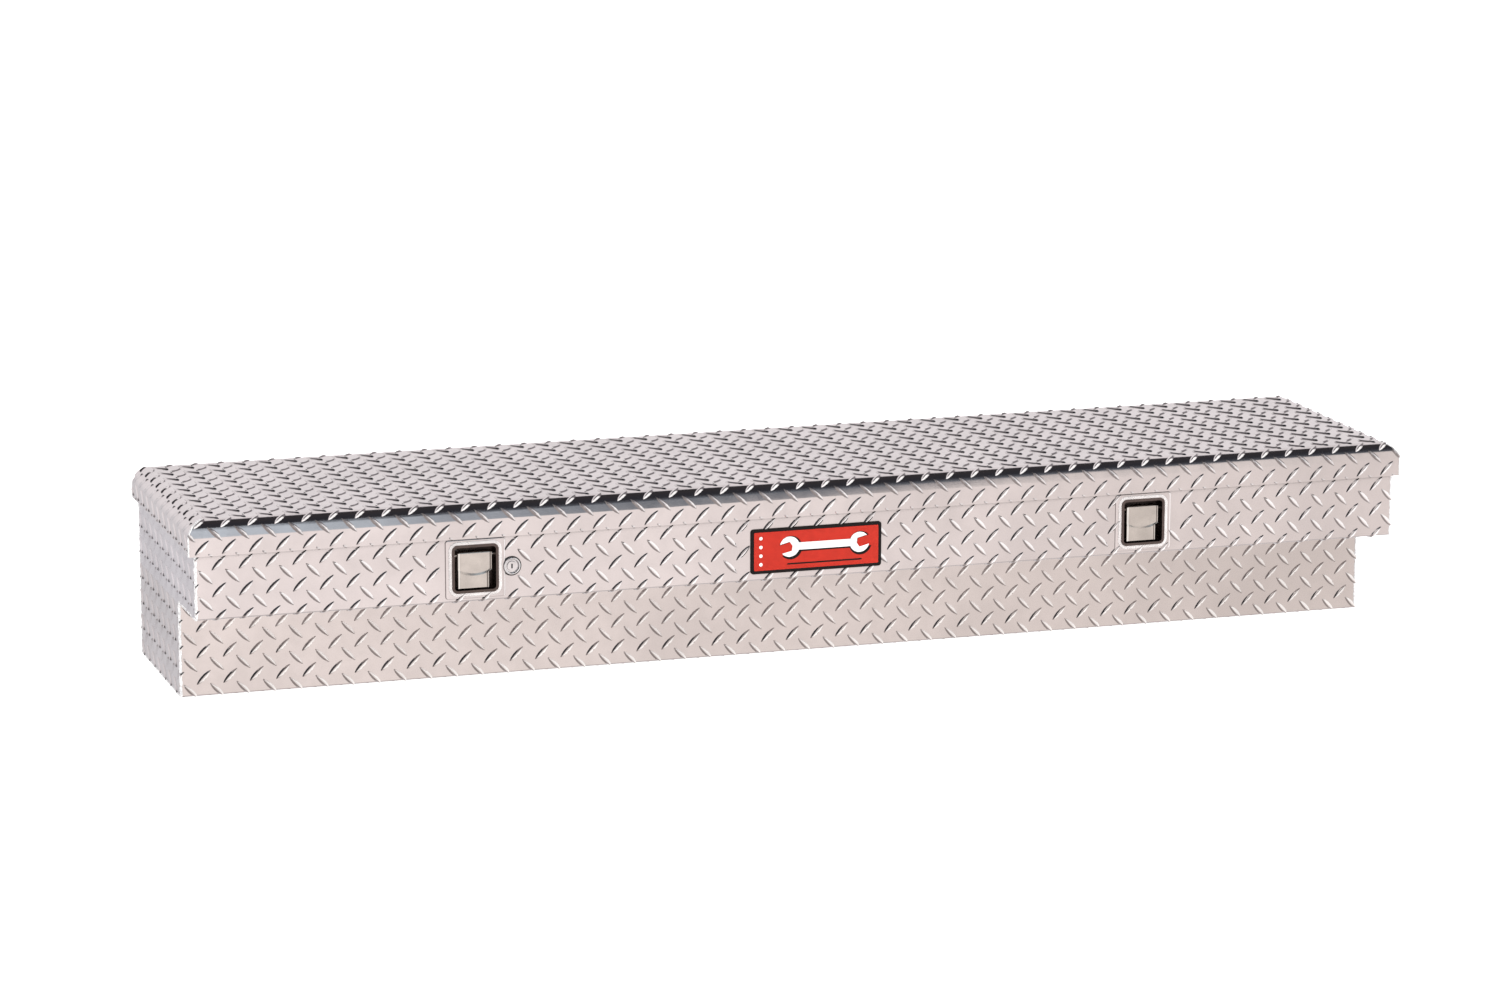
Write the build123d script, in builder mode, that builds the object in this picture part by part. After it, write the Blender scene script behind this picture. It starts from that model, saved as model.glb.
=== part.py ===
from build123d import *
import math
import os

# Aluminium side-mount truck tool box, millimetres, +Z up.
# Origin: centre of the bottom of the whole box; the front faces -Y, the hinge runs along +Y.

# Driving dimensions
BODY_LENGTH = 1760.0
LID_LENGTH = 1778.0
SHEET = 1.6
FRONT_Y = -190.0
BACK_Y = 189.0
STEP_DEPTH = 113.0
STEP_HEIGHT = 134.0
RIM_TOP = 256.0
RIM_WIDTH = 20.0
BEND = 3.2
LID_TOP = 269.5
LID_FRONT_Y = -195.0
LID_ROLL = 24.0
LID_FRONT_EDGE = 223.0
LID_END_EDGE = 227.0
LID_BACK_EDGE = 258.0
HINGE_Y = 192.0
HINGE_Z = 255.5
HINGE_LENGTH = 1700.0
KNUCKLES = 34
KNUCKLE_RADIUS = 3.0
KNUCKLE_PLAY = 0.4
HINGE_PIN = 1.5
LEAF = 1.2
LEAF_GAP = 3.5
RIVET = 4.8
RIVET_COUNT = 12
BODY_RIVET_Z = 242.0
LID_RIVET_Z = 262.8
BODY_RIVET_HEAD = 9.0
LID_RIVET_HEAD = 7.2
MOUNT_HOLE = 9.0
MOUNT_SPACING = 1200.0
SEAL_WIDTH = 9.0
SEAL_HEIGHT = 9.0
STRUT_X = 846.0
LATCH_X = 491.5
LATCH_Z = 180.0
LOCK_OFFSET = 51.6
BADGE_WIDTH = 192.0
BADGE_HEIGHT = 63.4
BADGE_Z = 175.5
SLIP = 0.05

# Positions worked out from them
HALF_BODY = BODY_LENGTH / 2
HALF_LID = LID_LENGTH / 2
LEDGE_Y = FRONT_Y + STEP_DEPTH
LID_INNER = LID_TOP - SHEET
RIM_MIDDLE_Y = (FRONT_Y + BACK_Y) / 2
RIM_OPENING = BACK_Y - FRONT_Y - 2 * RIM_WIDTH
LOCK_X = -LATCH_X + LOCK_OFFSET
SIDES = {"left": -1, "right": 1}
BODY_PROFILE = [
    (FRONT_Y, RIM_TOP),
    (FRONT_Y, STEP_HEIGHT),
    (LEDGE_Y, STEP_HEIGHT),
    (LEDGE_Y, 0),
    (BACK_Y, 0),
    (BACK_Y, RIM_TOP),
]

# Gas springs: both pivots as (forward of the hinge, below the hinge)
STRUT_LID = (200.0, 8.0)
STRUT_BODY = (30.0, 28.0)
STRUT_CLOSED = math.dist(STRUT_LID, STRUT_BODY)
STRUT_ANGLE = math.degrees(math.atan2(STRUT_BODY[1] - STRUT_LID[1], STRUT_LID[0] - STRUT_BODY[0]))
TUBE_RADIUS = 7.0
TUBE_START = 9.0
TUBE_END = 125.0
ROD_RADIUS = 3.0
PISTON_START = 56.0
STUD_RADIUS = 4.0

# Latch mechanism, (x, z) from the middle of each latch
CUP_WIDTH = 61.5
CUP_HEIGHT = 63.0
CUP_BACK = -168.0
CUP_CORNER = 6.0
CUP_LIP = 0.8
CUP_WALL = 1.5
PADDLE_WIDTH = 49.6
PADDLE_LOW = -28.5
PADDLE_HIGH = 22.4
NOTCH_WIDTH = 4.4
NOTCH_HEIGHT = 25.0
PADDLE_PIVOT_Y = -180.0
PADDLE_PIVOT_Z = 17.0
PADDLE_PIN = 2.5
PADDLE_FRONT = -187.0
FINGER_BACK = -157.5
CASE_BACK = -165.0
PLATE_FRONT = -164.6
PLATE_BACK = -158.6
ROTOR_PIVOT = (-14.0, 40.0)
ROTOR_SWING = 80.0
HOOK_REACH = 20.0
STRIKER_RADIUS = 4.0
PAWL_PIVOT = (28.0, 20.0)
PAWL_TIP = (-0.4, 30.5)
PAWL_TAIL = (-6.0, 8.5)
PIVOT_PIN = 3.0
FINGER_SLOT = (0.0, 13.0)
FINGER_SLOT_SIZE = (12.0, 16.0)
SCREW = 2.0
SCREW_PLACES = [(-22.0, -12.0), (22.0, -12.0), (-22.0, 22.0)]

# Lock
BARREL_RADIUS = 9.5
BARREL_BACK = -166.0
PLUG_RADIUS = 6.5
STUB_RADIUS = 4.0

os.makedirs("parts", exist_ok=True)


def save(part, label):
    """Name a finished piece and write it out."""
    part.label = label
    export_step(part, "parts/" + label + ".step")


def front_plane(y, x=0.0, z=0.0):
    """A plane at depth y facing the front, with its origin over (x, z)."""
    return Plane(origin=(x, y, z), x_dir=(1, 0, 0), z_dir=(0, -1, 0))


def polar(centre, radius, angle):
    """Point at a radius and an angle in degrees about a centre."""
    turn = math.radians(angle)
    return (centre[0] + radius * math.cos(turn), centre[1] + radius * math.sin(turn))


# ---------------------------------------------------------------- body

def body_shell():
    """One folded sheet: back, floor, stepped front and the two long rim flanges."""
    with BuildPart() as shell:
        with BuildSketch(Plane.YZ):
            with BuildLine():
                Polyline(*BODY_PROFILE, close=True)
            make_face()
            fillet(vertices(), BEND)
            offset(amount=-SHEET, mode=Mode.SUBTRACT)
            with Locations((RIM_MIDDLE_Y, RIM_TOP)):
                Rectangle(RIM_OPENING, 4 * SHEET, mode=Mode.SUBTRACT)
        extrude(amount=HALF_BODY - SHEET, both=True)
        for side in SIDES.values():
            with BuildSketch(front_plane(FRONT_Y - 1, side * LATCH_X, LATCH_Z)):
                RectangleRounded(CUP_WIDTH + 0.5, CUP_HEIGHT + 0.5, CUP_CORNER)
            extrude(amount=-SHEET - 2, mode=Mode.SUBTRACT)
        with BuildSketch(front_plane(FRONT_Y - 1, LOCK_X, LATCH_Z)):
            Circle(BARREL_RADIUS + SLIP)
        extrude(amount=-SHEET - 2, mode=Mode.SUBTRACT)
        with BuildSketch(Plane.XY.offset(STEP_HEIGHT - 1)):
            with Locations(*mount_hole_places()):
                Circle(MOUNT_HOLE / 2)
        extrude(amount=SHEET + 2, mode=Mode.SUBTRACT)
        with BuildSketch(front_plane(BACK_Y + 1)):
            with Locations(*[(x, BODY_RIVET_Z) for x in rivet_places()]):
                Circle(RIVET / 2 + SLIP)
        extrude(amount=SHEET + 2, mode=Mode.SUBTRACT)
    return shell.part


def mount_hole_places():
    """Bolt holes along the middle of the ledge."""
    middle = (FRONT_Y + LEDGE_Y) / 2
    return [(-MOUNT_SPACING / 2, middle), (MOUNT_SPACING / 2, middle)]


def end_panel(side):
    """Flat stepped end plate with its own short rim flange."""
    with BuildPart() as panel:
        with BuildSketch(Plane.YZ.offset(side * (HALF_BODY - SHEET))):
            with BuildLine():
                Polyline(*BODY_PROFILE, close=True)
            make_face()
            fillet(vertices(), BEND)
        extrude(amount=side * SHEET)
        middle_x = side * (HALF_BODY - SHEET - (RIM_WIDTH - SHEET) / 2)
        with BuildSketch(Plane.XY.offset(RIM_TOP - SHEET)):
            with Locations((middle_x, RIM_MIDDLE_Y)):
                Rectangle(RIM_WIDTH - SHEET, RIM_OPENING)
        extrude(amount=SHEET)
    return panel.part


def weather_seal():
    """Rubber bulb seal standing on the rim all the way round."""
    centre_x = BODY_LENGTH - RIM_WIDTH
    centre_y = BACK_Y - FRONT_Y - RIM_WIDTH
    with BuildPart() as seal:
        with BuildSketch(Plane.XY.offset(RIM_TOP)):
            with Locations((0, RIM_MIDDLE_Y)):
                RectangleRounded(centre_x + SEAL_WIDTH, centre_y + SEAL_WIDTH, 10)
                RectangleRounded(centre_x - SEAL_WIDTH, centre_y - SEAL_WIDTH, 1.5, mode=Mode.SUBTRACT)
        extrude(amount=SEAL_HEIGHT)
        fillet(seal.faces().sort_by(Axis.Z)[-1].edges(), SEAL_WIDTH / 2 - 0.4)
    return seal.part


# ---------------------------------------------------------------- lid

def lid_block(inset):
    """Solid block of the lid's outline, moved in by a sheet thickness for its inside."""
    roll = LID_ROLL - inset
    with BuildPart() as block:
        with BuildSketch(Plane.YZ):
            with BuildLine():
                Polyline(
                    (LID_FRONT_Y + inset, 200),
                    (LID_FRONT_Y + inset, LID_TOP - inset),
                    (BACK_Y - inset, LID_TOP - inset),
                    (BACK_Y - inset, 200),
                    close=True,
                )
            make_face()
            fillet(vertices().group_by(Axis.X)[0].sort_by(Axis.Y)[-1], roll)
            fillet(vertices().group_by(Axis.X)[-1].sort_by(Axis.Y)[-1], BEND - inset)
        extrude(amount=HALF_LID + 1, both=True)
        with BuildSketch(Plane.XZ):
            with Locations((0, LID_TOP - inset - 100)):
                Rectangle(LID_LENGTH - 2 * inset, 200)
            fillet(vertices().group_by(Axis.Y)[-1], roll)
        extrude(amount=300, both=True, mode=Mode.INTERSECT)
    return block.part


def lid_skin():
    """Lid sheet: rolled front and ends with deep flanges, short flange along the hinge."""
    hollow = lid_block(SHEET)
    with BuildPart() as skin:
        add(lid_block(0))
        add(hollow, mode=Mode.SUBTRACT)
        with Locations((0, 0, LID_FRONT_EDGE - 100)):
            Box(2 * LID_LENGTH, 500, 200, mode=Mode.SUBTRACT)
        for side in SIDES.values():
            with Locations((side * HALF_LID, LID_FRONT_Y + LID_ROLL + 250, LID_END_EDGE - 50)):
                Box(60, 500, 100, mode=Mode.SUBTRACT)
        with Locations((0, BACK_Y, LID_BACK_EDGE - 50)):
            Box(LID_LENGTH - 2 * SHEET, 10, 100, mode=Mode.SUBTRACT)
        with BuildSketch(front_plane(BACK_Y + 1)):
            with Locations(*[(x, LID_RIVET_Z) for x in rivet_places()]):
                Circle(RIVET / 2 + SLIP)
        extrude(amount=SHEET + 2, mode=Mode.SUBTRACT)
    return skin.part


def lid_stiffener():
    """Hat channel welded under the lid along its middle."""
    half_web = 19.0
    foot = 15.0
    depth = 10.0
    wall = 1.2
    outline = [
        (-half_web - foot, 0), (-half_web - foot, -wall), (-half_web - wall, -wall),
        (-half_web + 3, -depth), (half_web - 3, -depth), (half_web + wall, -wall),
        (half_web + foot, -wall), (half_web + foot, 0), (half_web, 0),
        (half_web - 3 - wall, -depth + wall), (-half_web + 3 + wall, -depth + wall), (-half_web, 0),
    ]
    with BuildPart() as channel:
        with BuildSketch(Plane(origin=(0, -60, LID_INNER), x_dir=(0, 1, 0), z_dir=(1, 0, 0))):
            with BuildLine():
                Polyline(*outline, close=True)
            make_face()
        extrude(amount=780, both=True)
    return channel.part


# ---------------------------------------------------------------- hinge

def rivet_places():
    """Rivet positions along the hinge."""
    step = (HINGE_LENGTH - 60) / (RIVET_COUNT - 1)
    return [-(HINGE_LENGTH - 60) / 2 + step * i for i in range(RIVET_COUNT)]


def hinge_leaf(first, far, near, rivet_z):
    """One leaf of the continuous hinge with every second knuckle."""
    pitch = HINGE_LENGTH / KNUCKLES
    middles = [-HINGE_LENGTH / 2 + pitch * (i + 0.5) for i in range(first, KNUCKLES, 2)]
    with BuildPart() as leaf:
        with Locations((0, BACK_Y + LEAF / 2, (far + near) / 2)):
            Box(HINGE_LENGTH, LEAF, abs(far - near))
        for middle in middles:
            with Locations((middle, BACK_Y + LEAF / 2, (near + HINGE_Z) / 2)):
                Box(pitch - KNUCKLE_PLAY, LEAF, abs(near - HINGE_Z))
            with Locations((middle, HINGE_Y, HINGE_Z)):
                Cylinder(KNUCKLE_RADIUS, pitch - KNUCKLE_PLAY, rotation=(0, 90, 0))
        with Locations((0, HINGE_Y, HINGE_Z)):
            Cylinder(HINGE_PIN + SLIP, HINGE_LENGTH + 2, rotation=(0, 90, 0), mode=Mode.SUBTRACT)
        with BuildSketch(front_plane(BACK_Y - 1)):
            with Locations(*[(x, rivet_z) for x in rivet_places()]):
                Circle(RIVET / 2 + SLIP)
        extrude(amount=-LEAF - 2, mode=Mode.SUBTRACT)
    return leaf.part


def hinge_pin():
    """Stainless pin through every knuckle."""
    with BuildPart() as pin:
        with Locations((0, HINGE_Y, HINGE_Z)):
            Cylinder(HINGE_PIN, HINGE_LENGTH - 1, rotation=(0, 90, 0))
    return pin.part


def hinge_rivets(z, head):
    """Row of domed rivets through leaf and sheet."""
    outside = BACK_Y + LEAF
    inside = BACK_Y - SHEET
    with BuildPart() as rivets:
        with BuildSketch(front_plane(outside)):
            with Locations(*[(x, z) for x in rivet_places()]):
                Circle(RIVET / 2)
        extrude(amount=outside - inside)
        with BuildSketch(front_plane(outside)):
            with Locations(*[(x, z) for x in rivet_places()]):
                Circle(head / 2)
        extrude(amount=-1.8, taper=30)
        with BuildSketch(front_plane(inside)):
            with Locations(*[(x, z) for x in rivet_places()]):
                Circle(head / 2 - 0.6)
        extrude(amount=1.4, taper=15)
    return rivets.part


# ---------------------------------------------------------------- gas springs

def strut_frame(side):
    """Plane at the body pivot: x along the closed gas spring, normal across it."""
    turn = math.radians(STRUT_ANGLE)
    origin = (side * STRUT_X, HINGE_Y - STRUT_BODY[0], HINGE_Z - STRUT_BODY[1])
    return Plane(origin=origin, x_dir=(0, -math.cos(turn), math.sin(turn)), z_dir=(-1, 0, 0))


def strut_section(side, distance):
    """Plane across the gas spring at a distance from its body pivot."""
    frame = strut_frame(side)
    place = frame.origin + frame.x_dir * distance
    return Plane(origin=place, x_dir=(1, 0, 0), z_dir=frame.x_dir)


def across_x(side, inner, outer, y, z, radius, mode=Mode.ADD):
    """Round bar lying across the box between two distances from its middle."""
    with Locations((side * (inner + outer) / 2, y, z)):
        Cylinder(radius, abs(outer - inner), rotation=(0, 90, 0), mode=mode)


def strut_bracket_body(side):
    """Plate on the inside of the end panel with the lower pivot stud."""
    y = HINGE_Y - STRUT_BODY[0]
    z = HINGE_Z - STRUT_BODY[1]
    wall = HALF_BODY - SHEET
    with BuildPart() as bracket:
        with Locations((side * (wall - 1.25), y, z)):
            Box(2.5, 36, 36)
        fillet(bracket.edges().filter_by(Axis.X), 5)
        across_x(side, STRUT_X + 4.5, wall - 2.5, y, z, 7)
        across_x(side, STRUT_X - 7.5, STRUT_X + 4.5, y, z, STUD_RADIUS)
        for corner in (-1, 1):
            across_x(side, wall - 4, wall - 2.5, y + corner * 12, z + corner * 12, 3)
    return bracket.part


def strut_clip(side):
    """Retaining washer on the lower stud."""
    y = HINGE_Y - STRUT_BODY[0]
    z = HINGE_Z - STRUT_BODY[1]
    with BuildPart() as clip:
        across_x(side, STRUT_X - 6, STRUT_X - 4.6, y, z, 6.5)
        across_x(side, STRUT_X - 7, STRUT_X - 4, y, z, STUD_RADIUS + 0.02, mode=Mode.SUBTRACT)
    return clip.part


def strut_bracket_lid(side):
    """Angle bracket under the lid with the upper pivot stud facing outwards."""
    y = HINGE_Y - STRUT_LID[0]
    z = HINGE_Z - STRUT_LID[1]
    leg_x = STRUT_X - 14
    drop = LID_INNER - z + 8
    with BuildPart() as bracket:
        with Locations((side * (leg_x - 11), y, LID_INNER - 1.25)):
            Box(25, 34, 2.5)
        with Locations((side * leg_x, y, LID_INNER - drop / 2)):
            Box(3, 22, drop)
        across_x(side, leg_x + 1.5, STRUT_X - 8, y, z, 5.5)
        across_x(side, STRUT_X - 8, STRUT_X - 4.8, y, z, 3.6)
    return bracket.part


def strut_tube(side):
    """Pressure tube with its lower eye, hollow for the rod and piston."""
    frame = strut_frame(side)
    with BuildPart() as tube:
        with BuildSketch(strut_section(side, TUBE_START)):
            Circle(TUBE_RADIUS)
        extrude(amount=TUBE_END - TUBE_START)
        with BuildSketch(strut_section(side, 20)):
            Circle(TUBE_RADIUS - 1.5)
        extrude(amount=TUBE_END - 27, mode=Mode.SUBTRACT)
        with BuildSketch(strut_section(side, TUBE_END - 8)):
            Circle(ROD_RADIUS + SLIP)
        extrude(amount=10, mode=Mode.SUBTRACT)
        with BuildSketch(frame):
            Circle(8)
            with Locations((8, 0)):
                Rectangle(8, 9)
        extrude(amount=4, both=True)
        with BuildSketch(frame):
            Circle(STUD_RADIUS + SLIP)
        extrude(amount=10, both=True, mode=Mode.SUBTRACT)
    return tube.part


def strut_rod(side):
    """Chromed rod with its piston and the socket for the lid stud."""
    frame = strut_frame(side)
    with BuildPart() as rod:
        with BuildSketch(strut_section(side, PISTON_START)):
            Circle(TUBE_RADIUS - 1.6)
        extrude(amount=6)
        with BuildSketch(strut_section(side, PISTON_START)):
            Circle(ROD_RADIUS)
        extrude(amount=STRUT_CLOSED - PISTON_START - 4)
        with BuildSketch(strut_section(side, STRUT_CLOSED - 20)):
            Circle(5)
        extrude(amount=16)
        with BuildSketch(frame):
            with Locations((STRUT_CLOSED, 0)):
                Circle(7.5)
        extrude(amount=4.5, both=True)
    return rod.part


# ---------------------------------------------------------------- latches

def latch_cup(x):
    """Deep pressed cup with a raised flange round the opening in the front."""
    with BuildPart() as cup:
        with BuildSketch(front_plane(FRONT_Y - CUP_LIP, x, LATCH_Z)):
            RectangleRounded(CUP_WIDTH + 4.5, CUP_HEIGHT + 4.5, CUP_CORNER + 2)
        extrude(amount=1.4)
        with BuildSketch(front_plane(FRONT_Y - CUP_LIP, x, LATCH_Z)):
            RectangleRounded(CUP_WIDTH, CUP_HEIGHT, CUP_CORNER)
        extrude(amount=FRONT_Y - CUP_LIP - CUP_BACK)
        with BuildSketch(front_plane(CUP_BACK - CUP_WALL, x, LATCH_Z)):
            RectangleRounded(CUP_WIDTH - 2 * CUP_WALL, CUP_HEIGHT - 2 * CUP_WALL, CUP_CORNER - CUP_WALL)
        extrude(amount=40, mode=Mode.SUBTRACT)
        with BuildSketch(front_plane(CUP_BACK + 1, x, LATCH_Z)):
            with Locations(FINGER_SLOT):
                Rectangle(*FINGER_SLOT_SIZE)
            with Locations(*SCREW_PLACES):
                Circle(SCREW + SLIP)
        extrude(amount=4, mode=Mode.SUBTRACT)
        with Locations((x, PADDLE_PIVOT_Y, LATCH_Z + PADDLE_PIVOT_Z)):
            Cylinder(PADDLE_PIN + SLIP, CUP_WIDTH + 4, rotation=(0, 90, 0), mode=Mode.SUBTRACT)
    return cup.part


def latch_gasket(x):
    """Thin rubber frame between the cup flange and the sheet."""
    with BuildPart() as gasket:
        with BuildSketch(front_plane(FRONT_Y, x, LATCH_Z)):
            RectangleRounded(CUP_WIDTH + 3.5, CUP_HEIGHT + 3.5, 7.5)
            RectangleRounded(CUP_WIDTH + 0.5, CUP_HEIGHT + 0.5, CUP_CORNER, mode=Mode.SUBTRACT)
        extrude(amount=CUP_LIP)
    return gasket.part


def latch_case(x):
    """Steel plate behind the cup that carries rotor and pawl."""
    with BuildPart() as case:
        with BuildSketch(front_plane(CASE_BACK, x, LATCH_Z)):
            with Locations((2, 16)):
                RectangleRounded(72, 74, 6)
            with Locations((ROTOR_PIVOT[0] + HOOK_REACH, 54)):
                Rectangle(14, 34, mode=Mode.SUBTRACT)
            with Locations(ROTOR_PIVOT, PAWL_PIVOT):
                Circle(PIVOT_PIN + SLIP, mode=Mode.SUBTRACT)
            with Locations(FINGER_SLOT):
                Rectangle(*FINGER_SLOT_SIZE, mode=Mode.SUBTRACT)
            with Locations(*SCREW_PLACES):
                Circle(SCREW + SLIP, mode=Mode.SUBTRACT)
        extrude(amount=3)
    return case.part


def latch_screws(x):
    """Screws joining the case to the cup."""
    with BuildPart() as screws:
        with BuildSketch(front_plane(CASE_BACK, x, LATCH_Z)):
            with Locations(*SCREW_PLACES):
                Circle(SCREW)
        extrude(amount=4.5)
        with BuildSketch(front_plane(CASE_BACK, x, LATCH_Z)):
            with Locations(*SCREW_PLACES):
                Circle(2 * SCREW)
        extrude(amount=-2.4)
        with BuildSketch(front_plane(CASE_BACK + 2.4, x, LATCH_Z)):
            with Locations(*SCREW_PLACES):
                RegularPolygon(1.6, 6)
        extrude(amount=1.4, mode=Mode.SUBTRACT)
    return screws.part


def pivot_pin(x, place):
    """Headed pin for the rotor or the pawl."""
    with BuildPart() as pin:
        with BuildSketch(front_plane(PLATE_BACK + 0.4, x, LATCH_Z)):
            with Locations(place):
                Circle(PIVOT_PIN)
        extrude(amount=PLATE_BACK + 0.4 - CUP_BACK)
        with BuildSketch(front_plane(PLATE_BACK + 0.4, x, LATCH_Z)):
            with Locations(place):
                Circle(PIVOT_PIN + 2)
        extrude(amount=-2)
    return pin.part


def paddle(x):
    """Square pull handle with side skirts, a notch low on the right, pivot ears and the release finger."""
    front = PADDLE_FRONT
    width = PADDLE_WIDTH
    height = PADDLE_HIGH - PADDLE_LOW
    middle = (PADDLE_HIGH + PADDLE_LOW) / 2
    with BuildPart() as handle:
        with BuildSketch(front_plane(front + 2.5, x, LATCH_Z)):
            with Locations((0, middle)):
                RectangleRounded(width, height, 2.5)
        extrude(amount=2.5)
        for edge in (-1, 1):
            with Locations((x + edge * (width / 2 - 1), front + 4, LATCH_Z + middle)):
                Box(2, 6, height - 8)
            with BuildSketch(Plane.YZ.offset(x + edge * (width / 2 - 1) - 1)):
                with BuildLine():
                    Polyline(
                        (front + 1, LATCH_Z + PADDLE_PIVOT_Z - 12),
                        (front + 1, LATCH_Z + PADDLE_HIGH - 3),
                        (PADDLE_PIVOT_Y + 4.5, LATCH_Z + PADDLE_PIVOT_Z + 4.5),
                        (PADDLE_PIVOT_Y + 4.5, LATCH_Z + PADDLE_PIVOT_Z - 4.5),
                        close=True,
                    )
                make_face()
            extrude(amount=2)
        notch_x = x + width / 2 - NOTCH_WIDTH / 2
        with Locations((notch_x, front, LATCH_Z + PADDLE_LOW + NOTCH_HEIGHT / 2)):
            Box(NOTCH_WIDTH, 20, NOTCH_HEIGHT, mode=Mode.SUBTRACT)
        with Locations((x, (front + 1 + FINGER_BACK) / 2, LATCH_Z + PADDLE_PIVOT_Z)):
            Box(9, FINGER_BACK - front - 1, 4)
        with Locations((x, PADDLE_PIVOT_Y, LATCH_Z + PADDLE_PIVOT_Z)):
            Cylinder(4.5, 9, rotation=(0, 90, 0))
            Cylinder(PADDLE_PIN + SLIP, width + 4, rotation=(0, 90, 0), mode=Mode.SUBTRACT)
    return handle.part


def paddle_pin(x):
    """Pin the paddle turns on, held in the cup's side walls."""
    with BuildPart() as pin:
        with Locations((x, PADDLE_PIVOT_Y, LATCH_Z + PADDLE_PIVOT_Z)):
            Cylinder(PADDLE_PIN, CUP_WIDTH - 0.4, rotation=(0, 90, 0))
    return pin.part


def paddle_spring(x):
    """Return spring coiled round the paddle pin."""
    start = (x + 8, PADDLE_PIVOT_Y, LATCH_Z + PADDLE_PIVOT_Z)
    with BuildPart() as spring:
        with BuildLine():
            wind = Helix(pitch=1.6, height=9.6, radius=3.6, center=start, direction=(1, 0, 0))
        with BuildSketch(Plane(origin=wind @ 0, z_dir=wind % 0)):
            Circle(0.6)
        sweep(path=wind)
    return spring.part


def rotor(x):
    """Hook plate, shown released with its mouth turned away from the striker."""
    released = ROTOR_SWING
    outer = HOOK_REACH + 11
    inner = HOOK_REACH + STRIKER_RADIUS + 0.6
    centre = ROTOR_PIVOT
    hook = (
        [polar(centre, 7, a + released) for a in (60, 13.5)]
        + [polar(centre, inner, a + released) for a in (13.5, 4, -6, -15)]
        + [polar(centre, outer, a + released) for a in (-15, -6, 4, 14, 24, 34)]
    )
    tooth = [polar(centre, 6, -62 + released), polar(centre, 13, -60 + released)]
    tooth += [polar(centre, 13, -40 + released), polar(centre, 6, -20 + released)]
    with BuildPart() as plate:
        with BuildSketch(front_plane(PLATE_BACK, x, LATCH_Z)):
            with Locations(centre):
                Circle(9)
            with BuildLine():
                Polyline(*hook, close=True)
            make_face()
            with BuildLine():
                Polyline(*tooth, close=True)
            make_face()
            with Locations(centre):
                Circle(PIVOT_PIN + SLIP, mode=Mode.SUBTRACT)
        extrude(amount=PLATE_BACK - PLATE_FRONT)
    return plate.part


def pawl(x):
    """Forked lever: one arm beside the rotor, one under the paddle's finger."""
    with BuildPart() as lever:
        with BuildSketch(front_plane(PLATE_BACK, x, LATCH_Z)):
            with Locations(PAWL_PIVOT):
                Circle(6.5)
            with Locations(PAWL_TIP):
                Circle(3)
            arm(PAWL_PIVOT, PAWL_TIP, 6)
            arm(PAWL_PIVOT, PAWL_TAIL, 4.4)
            with Locations(PAWL_PIVOT):
                Circle(PIVOT_PIN + SLIP, mode=Mode.SUBTRACT)
        extrude(amount=PLATE_BACK - PLATE_FRONT)
    return lever.part


def arm(start, end, width):
    """Straight bar between two points of the current sketch."""
    length = math.dist(start, end)
    turn = math.degrees(math.atan2(end[1] - start[1], end[0] - start[0]))
    middle = ((start[0] + end[0]) / 2, (start[1] + end[1]) / 2)
    with Locations(middle):
        Rectangle(length, width, rotation=turn)


def striker(x):
    """Bracket under the lid with the pin the hook closes over."""
    pin_x = x + ROTOR_PIVOT[0] + HOOK_REACH
    pin_z = LATCH_Z + ROTOR_PIVOT[1]
    plate_y = -149.0
    drop = LID_INNER - pin_z + 9
    with BuildPart() as bracket:
        with Locations((pin_x, plate_y, LID_INNER - drop / 2)):
            Box(26, 3, drop)
        with Locations((pin_x, plate_y + 12, LID_INNER - 1.5)):
            Box(40, 27, 3)
        with BuildSketch(front_plane(plate_y, pin_x, pin_z)):
            Circle(STRIKER_RADIUS)
        extrude(amount=plate_y - PLATE_FRONT - 0.4)
    return bracket.part


# ---------------------------------------------------------------- lock and badge

def lock_barrel():
    """Cylinder housing with its front ring."""
    with BuildPart() as barrel:
        with BuildSketch(front_plane(FRONT_Y, LOCK_X, LATCH_Z)):
            Circle(12.5)
        extrude(amount=2.6, taper=18)
        with BuildSketch(front_plane(BARREL_BACK, LOCK_X, LATCH_Z)):
            Circle(BARREL_RADIUS)
        extrude(amount=BARREL_BACK - FRONT_Y)
        with BuildSketch(front_plane(BARREL_BACK + 6, LOCK_X, LATCH_Z)):
            Circle(PLUG_RADIUS + SLIP)
        extrude(amount=40, mode=Mode.SUBTRACT)
    return barrel.part


def lock_nut():
    """Hexagon nut that clamps the barrel from inside."""
    with BuildPart() as nut:
        with BuildSketch(front_plane(FRONT_Y + SHEET, LOCK_X, LATCH_Z)):
            RegularPolygon(14, 6)
            Circle(BARREL_RADIUS + SLIP, mode=Mode.SUBTRACT)
        extrude(amount=-4)
    return nut.part


def lock_plug():
    """Turning plug with its keyway and the stub for the cam."""
    with BuildPart() as plug:
        with BuildSketch(front_plane(BARREL_BACK + 1, LOCK_X, LATCH_Z)):
            Circle(PLUG_RADIUS)
        extrude(amount=27)
        with BuildSketch(front_plane(BARREL_BACK + 6, LOCK_X, LATCH_Z)):
            Circle(STUB_RADIUS)
        extrude(amount=6)
        with BuildSketch(front_plane(FRONT_Y + 1, LOCK_X, LATCH_Z)):
            SlotOverall(7, 2.2, rotation=90)
        extrude(amount=4, mode=Mode.SUBTRACT)
    return plug.part


def lock_cam():
    """Locking tongue on the back of the plug, hanging down when unlocked."""
    with BuildPart() as cam:
        with BuildSketch(front_plane(BARREL_BACK + 4, LOCK_X, LATCH_Z)):
            Circle(8)
            with Locations((0, -9)):
                Rectangle(10, 18)
            Circle(STUB_RADIUS + 0.02, mode=Mode.SUBTRACT)
        extrude(amount=2.4)
    return cam.part


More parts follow.
